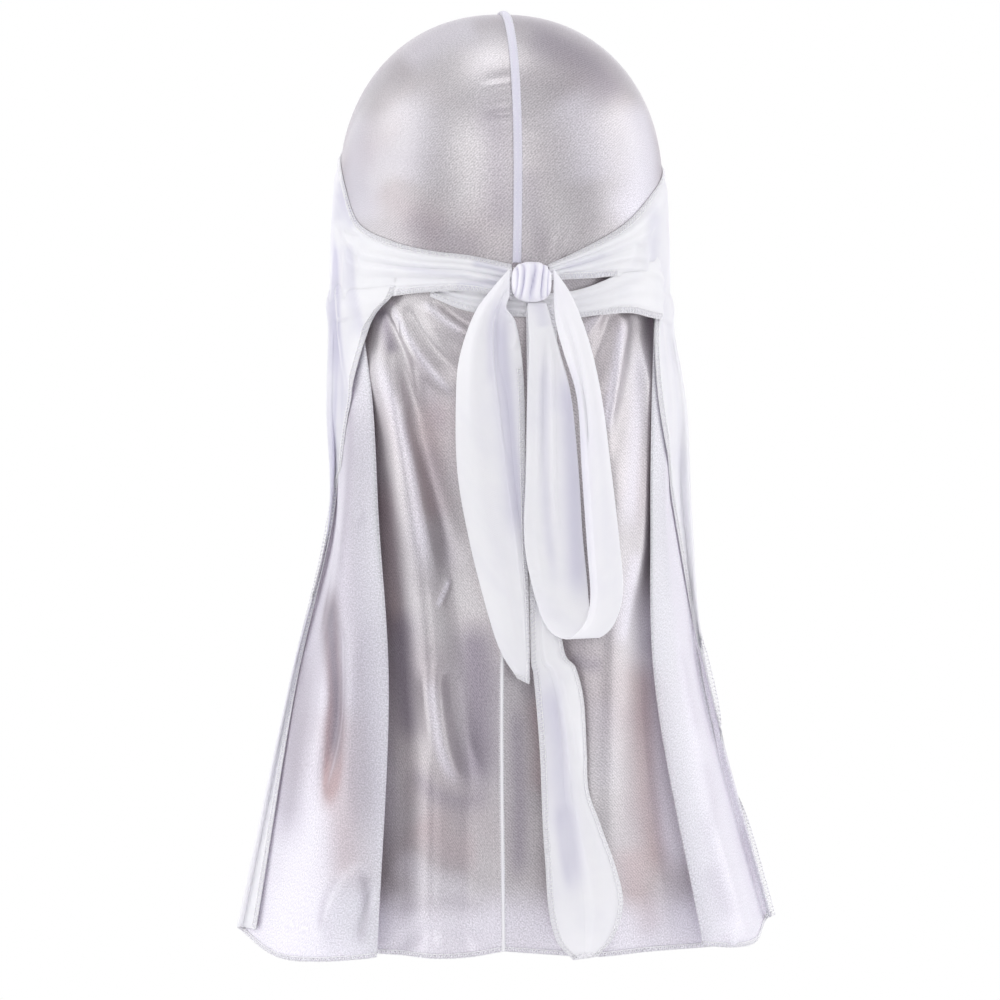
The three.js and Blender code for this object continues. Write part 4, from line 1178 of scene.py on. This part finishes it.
rightCape = {
    "sheet": {"flat": (0.30, 0.34), "area": 0.0695},
    "side": -1,
    "strap": rightStrap,
    "folds": [
        ("crown", -0.007, -0.007, 0, 0, (-0.04, -0.05, -0.06, -0.04), (0.89, 0.89, 0.88, 0.86), 0.993),
        ("crown", 0.075, 0.08, 0, 0, (0.20, 0.18, 0.165, 0.12), (0.84, 0.83, 0.83, 0.81), 0.998),
        ("crown", 0.21, 0.215, 0, 0, (0.54, 0.54, 0.405, 0.285), (0.82, 0.87, 0.895, 0.85), 1.0),
        ("crown", 0.30, 0.305, 0, 0, (0.745, 0.72, 0.585, 0.50), (0.63, 0.685, 0.70, 0.67), 1.0),
        ("crown", 0.37, 0.385, 0, 0.15, (0.855, 0.865, 0.77, 0.78), (0.545, 0.54, 0.525, 0.48), 1.0),
        ("crown", 0.385, 0.35, 0, 0.50, (0.80, 0.775, 0.655, 0.70), (0.645, 0.70, 0.71, 0.655), 0.995),
        ("crown", 0.42, 0.405, 0, 0.50, (0.885, 0.87, 0.785, 0.83), (0.56, 0.565, 0.575, 0.545), 1.0),
        ("strap", 0.455, 0.45, 0, 0.45, (0.975, 0.94, 0.875, 0.93), (0.27, 0.32, 0.34, 0.32), 1.0),
        ("strap", 0.485, 0.487, 0.85, 0.90, (1.043, 1.065, 0.945, 0.996), (0.075, 0.085, 0.08, 0.043), 0.985),
        ("strap", 0.475, 0.475, 1.18, 1.22, (1.073, 1.094, 0.969, 1.011), (0.106, 0.117, 0.10, 0.07), 0.98),
        ("strap", 0.42, 0.42, 0.90, 0.94, (1.0, 1.055, 0.977, 1.016), (0.34, 0.215, 0.118, 0.085), 0.98),
        ("strap", 0.345, 0.335, 0.62, 0.66, (0.842, 0.982, 0.972, 1.013), (0.60, 0.33, 0.132, 0.10), 0.98),
    ],
    "creases": [
        ((0, 0.36), [
            (2.6, (6, 7), [(626, 308), (620, 345), (612, 400), (604, 440)]),
            (1.8, (5, 5), [(606, 308), (592, 325), (578, 345)]),
            (-1.8, (6, 6), [(614, 308), (604, 340), (592, 375)]),
            (-2.0, (8, 8), [(638, 308), (634, 360), (622, 430), (612, 480)]),
            (2.4, (9, 7), [(646, 330), (646, 430), (640, 532), (634, 583), (626, 634)]),
            (1.2, (9, 9), [(540, 690), (560, 720), (575, 700)]),
        ]),
        ((0.44, 0.78), [
            (1.6, (8, 8), [(690, 640), (700, 700), (712, 760)]),
            (-0.8, (7, 7), [(676, 620), (684, 700), (700, 790)]),
        ]),
        ((0.44, 0.85), [
            (2.4, (6, 6), [(722, 949), (738, 932), (754, 922), (766, 939)]),
            (1.6, (9, 9), [(705, 800), (725, 870), (745, 930)]),
        ]),
    ],
    "turnedCreases": [],
    "paleBand": 0.95,
    # painted shade in the folds and under the loop
    "dusk": [
        (0.65, (9, 9), [(516, 690), (519, 770), (520, 830), (517, 895)]),
        (0.55, (8, 8), [(570, 655), (586, 664), (606, 664)]),
        (0.2, (10, 10), [(640, 580), (640, 620), (646, 660)]),
        (0.16, (6, 6), [(682, 640), (690, 690), (700, 740)]),
        (0.16, (6, 6), [(704, 755), (714, 800), (714, 840)]),
        (0.14, (6, 6), [(740, 820), (748, 860), (756, 890)]),
        (0.18, (11, 11), [(706, 862), (722, 900), (732, 925)]),
        (0.3, (7, 8), [(658, 240), (668, 330), (678, 420), (684, 500)]),
    ],
    # warm painted shade in the recess beside the band and under the tails
    "warmTintAndPaintedShade": [
        (0.45, (20, 20), [(645, 640), (650, 720), (656, 800), (662, 890)]),
        (0.35, (14, 14), [(536, 690), (545, 740), (540, 800)]),
        (0.3, (18, 18), [(628, 840), (640, 900), (660, 940)]),
    ],
    # painted highlights on the band and along the ridges
    "paleFinishAndPaintedHighlight": [
        (1.0, (18, 22), [(658, 560), (662, 680), (670, 800), (684, 900)]),
        (0.15, (14, 12), [(602, 690), (606, 750), (602, 800)]),
        (0.6, (4, 5), [(625, 312), (618, 360), (610, 410), (607, 440)]),
        (0.5, (8, 9), [(642, 330), (638, 420), (632, 490), (628, 540)]),
        (0.4, (3, 3), [(600, 312), (588, 328), (577, 345)]),
        (0.5, (4, 9), [(640, 545), (632, 590), (622, 650)]),
    ],
}
capeGrid = {"across": 220, "down": 165, "above": 7, "reach": 13}  # above and reach: the part on the strap
# Where the turned side starts, and where it lies on the band, counted in fold lines from the middle
capeZones = {"turned": (7.6, 8.4), "band": (5, 8.1), "laid": (9.3, 10.3), "last": 11}
capeTuck = 1.2  # its top edge, below the crown's edge or the strap's
onTop = 0.9  # the cape over the strap
laidGap = 1.25
turnedStep = 16  # pixels over which a step in the turned side eases back


def capeMiddle(cape):
    side, folds, strap = cape["side"], cape["folds"], cape["strap"]
    rows = strap["rows"]
    tops = []
    for kind, turn, *_ in folds:
        table, name = (crown["edge"], "edge") if kind == "crown" else (rows, "bottom")
        tops.append(-cloth["napeDrop"] * float(smooth(table[name], placeOfTurn(table, turn))) - capeTuck)
    across = np.linspace(0, 1, capeGrid["across"] + 1)
    if side > 0:
        across = across[::-1]
    topTurn, napeTurn, topLift, napeLift = (smooth([fold[k] for fold in folds], across) for k in (1, 2, 3, 4))
    topZ = straight(tops, across)
    napeZ = np.full_like(across, -napeEnd)
    levels = [
        overHead(side * turn, fallTo(z), cloth["hugLift"] + strapFlare * lift)
        for turn, z, lift in ((topTurn, topZ, topLift), (napeTurn, napeZ, napeLift))
    ]
    for i, share in enumerate(levelShare):
        halfWidth = head["width"] / 2 + (cloth["hemWidth"] - head["width"]) / 2 * levelSpread[i]
        level = -napeEnd - (cloth["hemDrop"] - napeEnd) * share
        levels.append(flow([
            (side * out[i] * halfWidth, back[i] * head["length"] / 2,
             level if share < 1 else -cloth["hemDrop"] * low)
            for *_, out, back, low in folds
        ], across))
    v = np.linspace(0, 1, capeGrid["down"] + 1)
    hanging = flow(levels, v ** levelCrowding)
    # the turned side grows out of the strap's lower edge, so its first rows lie on the strap
    place = placeOfTurn(rows, topTurn)
    stripTop, stripEdge = (-cloth["napeDrop"] * smooth(rows[column], place) for column in ("top", "bottom"))
    onStrap = ease(across, *(zone / capeZones["last"] for zone in capeZones["turned"]))
    reach = capeGrid["reach"]
    above = []
    for h in np.linspace(reach, 0, capeGrid["above"], endpoint=False):
        z = stripEdge + h
        share = np.clip((z - stripTop) / (stripEdge - stripTop), 0, 1)
        onLift = strapLift(strap, place, share) + onTop - 3.4 * ease(h, 0.25 * reach, reach)
        hidden = overHead(side * topTurn, fallTo(topZ + h * 0.5), np.full_like(across, 1.7))
        shown = overHead(side * topTurn, fallTo(z), onLift)
        above.append(hidden + (shown - hidden) * onStrap[:, None])
    edgeLift = strapLift(strap, place, np.ones_like(across)) + onTop
    edge = overHead(side * topTurn, fallTo(stripEdge), edgeLift)
    fade = (1 - ease(v, 0, 0.16))[None, :, None] * onStrap[:, None, None]
    hanging = hanging + (edge - hanging[:, 0])[:, None, :] * fade
    middle = np.concatenate([np.stack(above, axis=1), hanging], axis=1)
    # ease the join along each column
    near = np.zeros(middle.shape[1] - 2)
    near[: capeGrid["above"] + 14] = 0.5
    for _ in range(12):
        inner = (middle[:, :-2] + middle[:, 2:]) / 2
        middle[:, 1:-1] += (inner - middle[:, 1:-1]) * near[None, :, None] * onStrap[:, None, None]
    middle[..., 0] += side * 0.2 * (1 - across)[:, None]
    return middle, across


def layTurnedSide(middle, across, side):
    # the turned side lies on the band below it, a wall's thickness off
    middle = middle.copy()
    first, last = (zone / capeZones["last"] for zone in capeZones["band"])
    band = (across > first) & (across < last)
    order = np.argsort(across[band])
    amount = ease(across, *(zone / capeZones["last"] for zone in capeZones["laid"]))
    for j in range(capeGrid["above"] + 12, middle.shape[1]):
        x = np.maximum.accumulate(side * middle[band, j, 0][order]) + np.arange(order.size) * 1e-6
        y = middle[band, j, 1][order]
        slope = np.clip(np.abs(np.gradient(y, x + np.arange(x.size) * 1e-3)), 0, 3)
        place = side * middle[:, j, 0]
        target = np.interp(place, x, y) + laidGap * np.sqrt(1 + np.interp(place, x, slope) ** 2)
        fading = amount * ease(float(j - capeGrid["above"]), 12, 30)
        middle[:, j, 1] += (target - middle[:, j, 1]) * fading
    return middle


def creaseCape(middle, shares, groups, step=None):
    for (first, last), folds in groups:
        room = ease(shares, first - 0.03, first + 0.02) * (1 - ease(shares, last - 0.03, last + 0.02))
        for fold in folds:
            middle = crease(middle, [fold], room, step=step)
    return middle


def capeMarks(cape, middle, shares):
    marks = {tint: tinge(middle, cape[tint]) for tint in tints}
    depth = np.linspace(0, 1, middle.shape[1])[None, :]
    onBand = ease(shares, 0.425, 0.45)
    through = 0.3 * ease(shares, 0.28, 0.34) * (1 - onBand)  # light comes through there
    # paler towards the hem: painted light coming through the thin hem
    hemLight = 0.7 * ease(depth, 0.93, 0.975)
    ground = onBand * cape["paleBand"] + through + hemLight
    marks["paleFinishAndPaintedHighlight"] = np.clip(ground[..., None] + marks["paleFinishAndPaintedHighlight"], 0, 1)
    return marks


for cape, hand in ((leftCape, "left"), (rightCape, "right")):
    middle, across = capeMiddle(cape)
    shares = np.broadcast_to(across[:, None], middle.shape[:2])
    middle = creaseCape(middle, shares, cape["creases"])
    middle = layTurnedSide(middle, across, cape["side"])
    middle = cape["middle"] = creaseCape(middle, shares, cape["turnedCreases"], turnedStep)
    piece = makeCloth(f"cape_{hand}_satin", middle, [faceLook, reverseLook],
                      uv=clothLengths(middle, fromLast=cape["side"] > 0), marks=capeMarks(cape, middle, shares))
    declareSheet(f"cape_{hand}")
print("cape made")

# Cape seam: a narrow overlocked ridge

capeSeam = {"start": 0.13, "stitch": 1.6, "swing": 1.1, "threadRadius": 0.3, "ridgeRadius": 0.85, "shift": 0.2}
middle = leftCape["middle"]
start = capeGrid["above"] + int(capeGrid["down"] * capeSeam["start"])
normal = normalsOf(middle)[-1, start:]
line = middle[-1, start:] + normal * onTop
line[:, 0] -= capeSeam["shift"]
done = distanceAlong(line)
at = np.linspace(0, done[-1], 2 * int(done[-1] / capeSeam["stitch"]) + 1)
centre, up = readAlong(line, done, at), readAlong(normal, done, at)
swing = np.zeros_like(centre)
swing[:, 0] = np.where(np.arange(len(at)) % 2 == 0, 1, -1) * capeSeam["swing"]
store = newStore()
addTube(store, centre + swing + up * 0.25, up, capeSeam["threadRadius"], 5)
addTube(store, centre - swing + up * 0.35, up, capeSeam["threadRadius"], 5)
makeThreads("cape_seam_thread", store)
store = newStore()
addTube(store, centre[::2], up[::2], capeSeam["ridgeRadius"], 8)
points = np.concatenate(store["points"])
ridge = makeMesh("cape_seam_ridge", points, store["faces"], [reverseLook], uv=points[:, [0, 2]] * mm)
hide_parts("cape_seam")
print("cape seam made")

# Overlocked edges

store = newStore()
for cape, column, inColumn in ((leftCape, 0, 3), (rightCape, -1, -4)):
    middle = cape["middle"]
    normal = normalsOf(middle)
    overlockAlong(store, *columnEdge(middle, -normal, column, inColumn, first=capeGrid["above"] - 2))
    overlockAlong(store, *rowEdge(middle, normal, -1, -4), depth=1.8, spacing=2.4)
makeThreads("cape_overlock", store)

store = newStore()
for strap, lastTurn in ((leftStrap, 0.235), (rightStrap, 0.2)):  # the rest is under the cape's turned side
    keep = np.nonzero(strap["turns"] < lastTurn)[0]
    middle = strap["middle"]
    overlockAlong(store, *rowEdge(middle, normalsOf(middle), -1, -5, keep[0], keep[-1] + 1))
underKeep = int(0.87 * underBand["across"])
overlockAlong(store, *rowEdge(underMiddle, normalsOf(underMiddle), -1, -5, 0, underKeep))
for strap in (leftStrap, rightStrap):
    overlockAlong(store, *rowEdge(strap["middle"], normalsOf(strap["middle"]), 0, 5), depth=2.0)
makeThreads("strap_overlock", store)

store = newStore()
for strip, depth, columns, hasEnd in (
    (leftTail, 2.4, [(-1, -6, 70)], True),
    (longTail, 2.2, [(0, 5, 4), (-1, -6, 4)], True),
    (loop, 2.0, [(-1, -6, 165)], False),
):
    middle = strip["middle"]
    normal = normalsOf(middle)
    for column, inColumn, first in columns:
        overlockAlong(store, *columnEdge(middle, normal, column, inColumn, first), depth=depth)
    if hasEnd:
        overlockAlong(store, *rowEdge(middle, normal, -1, -3), depth=depth)
makeThreads("tail_overlock", store)
print("threads made")

# Studio

studio = {
    "world": "#f4f3f8",
    "worldStrength": 0.8,
    "floorDrop": -750,
    "floorRadius": 900,
    # each light's place, what it points at, its size and its power
    "lights": {
        "leftSoftbox": ((1.45, -0.15, 0.05), (0, 0, -0.2), (1.3, 1.8), 7.6),
        "rightSoftbox": ((-1.45, -0.1, 0.05), (0, 0, -0.2), (1.4, 1.8), 8.8),
        "keySoftbox": ((0.5, 2.5, 0.5), (0, 0, -0.2), (2.6, 2.4), 16.5),
        "frontFill": ((0.0, -2.2, 0.3), (0, 0, -0.2), (1.6, 1.6), 5),
        "topSoftbox": ((0.12, 0.1, 1.3), (0, 0, 0), (0.5, 0.7), 2.2),
    },
}


def makeStudio():
    scene = bpy.context.scene
    scene.view_settings.view_transform = "Standard"
    scene.view_settings.look = "None"
    world = bpy.data.worlds.new("studio")
    scene.world = world
    world.use_nodes = True
    tree = world.node_tree
    tree.nodes.clear()
    sight = addNode(tree, "LightPath")
    seen = addNode(tree, "Background", {"Color": (1, 1, 1, 1), "Strength": 1.0})
    lit = addNode(tree, "Background",
                  {"Color": colour(studio["world"]), "Strength": studio["worldStrength"]})
    both = addNode(tree, "MixShader",
                   links={0: sight.outputs["Is Camera Ray"], 1: lit.outputs[0], 2: seen.outputs[0]})
    addNode(tree, "OutputWorld", links={"Surface": both.outputs[0]})


def addLight(name, place, target, size, power):
    data = bpy.data.lights.new(name, "AREA")
    data.shape = "RECTANGLE"
    data.size, data.size_y = size
    data.energy = power
    light = bpy.data.objects.new(name, data)
    bpy.context.scene.collection.objects.link(light)
    light.location = place
    aim = Vector(target) - Vector(place)
    light.rotation_euler = aim.to_track_quat("-Z", "Y").to_euler()


makeStudio()
for name, settings in studio["lights"].items():
    addLight(name, *settings)

floorMaterial, tree = newMaterial("paintedFloorMatt")
grain = addNode(tree, "TexNoise", {"Scale": 6.0, "Detail": 4.0})
tint = addRamp(tree, grain.outputs["Fac"], [(0.3, "#f1f1f3"), (0.7, "#f7f7f8")])
surface = addNode(tree, "BsdfPrincipled", {"Roughness": 0.8}, {"Base Color": tint.outputs["Color"]})
addNode(tree, "OutputMaterial", links={"Surface": surface.outputs[0]})
bpy.ops.mesh.primitive_circle_add(vertices=96, radius=studio["floorRadius"] * mm, fill_type="NGON",
                                  location=(0, 0, studio["floorDrop"] * mm))
floor = bpy.context.object
floor.name = "floor"
floor.data.materials.append(floorMaterial)

cameraData = bpy.data.cameras.new("camera")
cameraObject = bpy.data.objects.new("camera", cameraData)
bpy.context.scene.collection.objects.link(cameraObject)
yaw = math.radians(camera["yaw"])
reach = camera["distance"] * mm
cameraObject.location = (reach * math.sin(yaw), reach * math.cos(yaw), camera["height"] * mm)
cameraObject.rotation_euler = (math.pi / 2, 0, math.pi - yaw)
cameraData.sensor_width = camera["sensor"]
cameraData.lens = camera["sensor"] * camera["distance"] / (camera["picture"] * camera["mmPerPixel"])
cameraData.dof.use_dof = False
bpy.context.scene.camera = cameraObject
print("studio made")
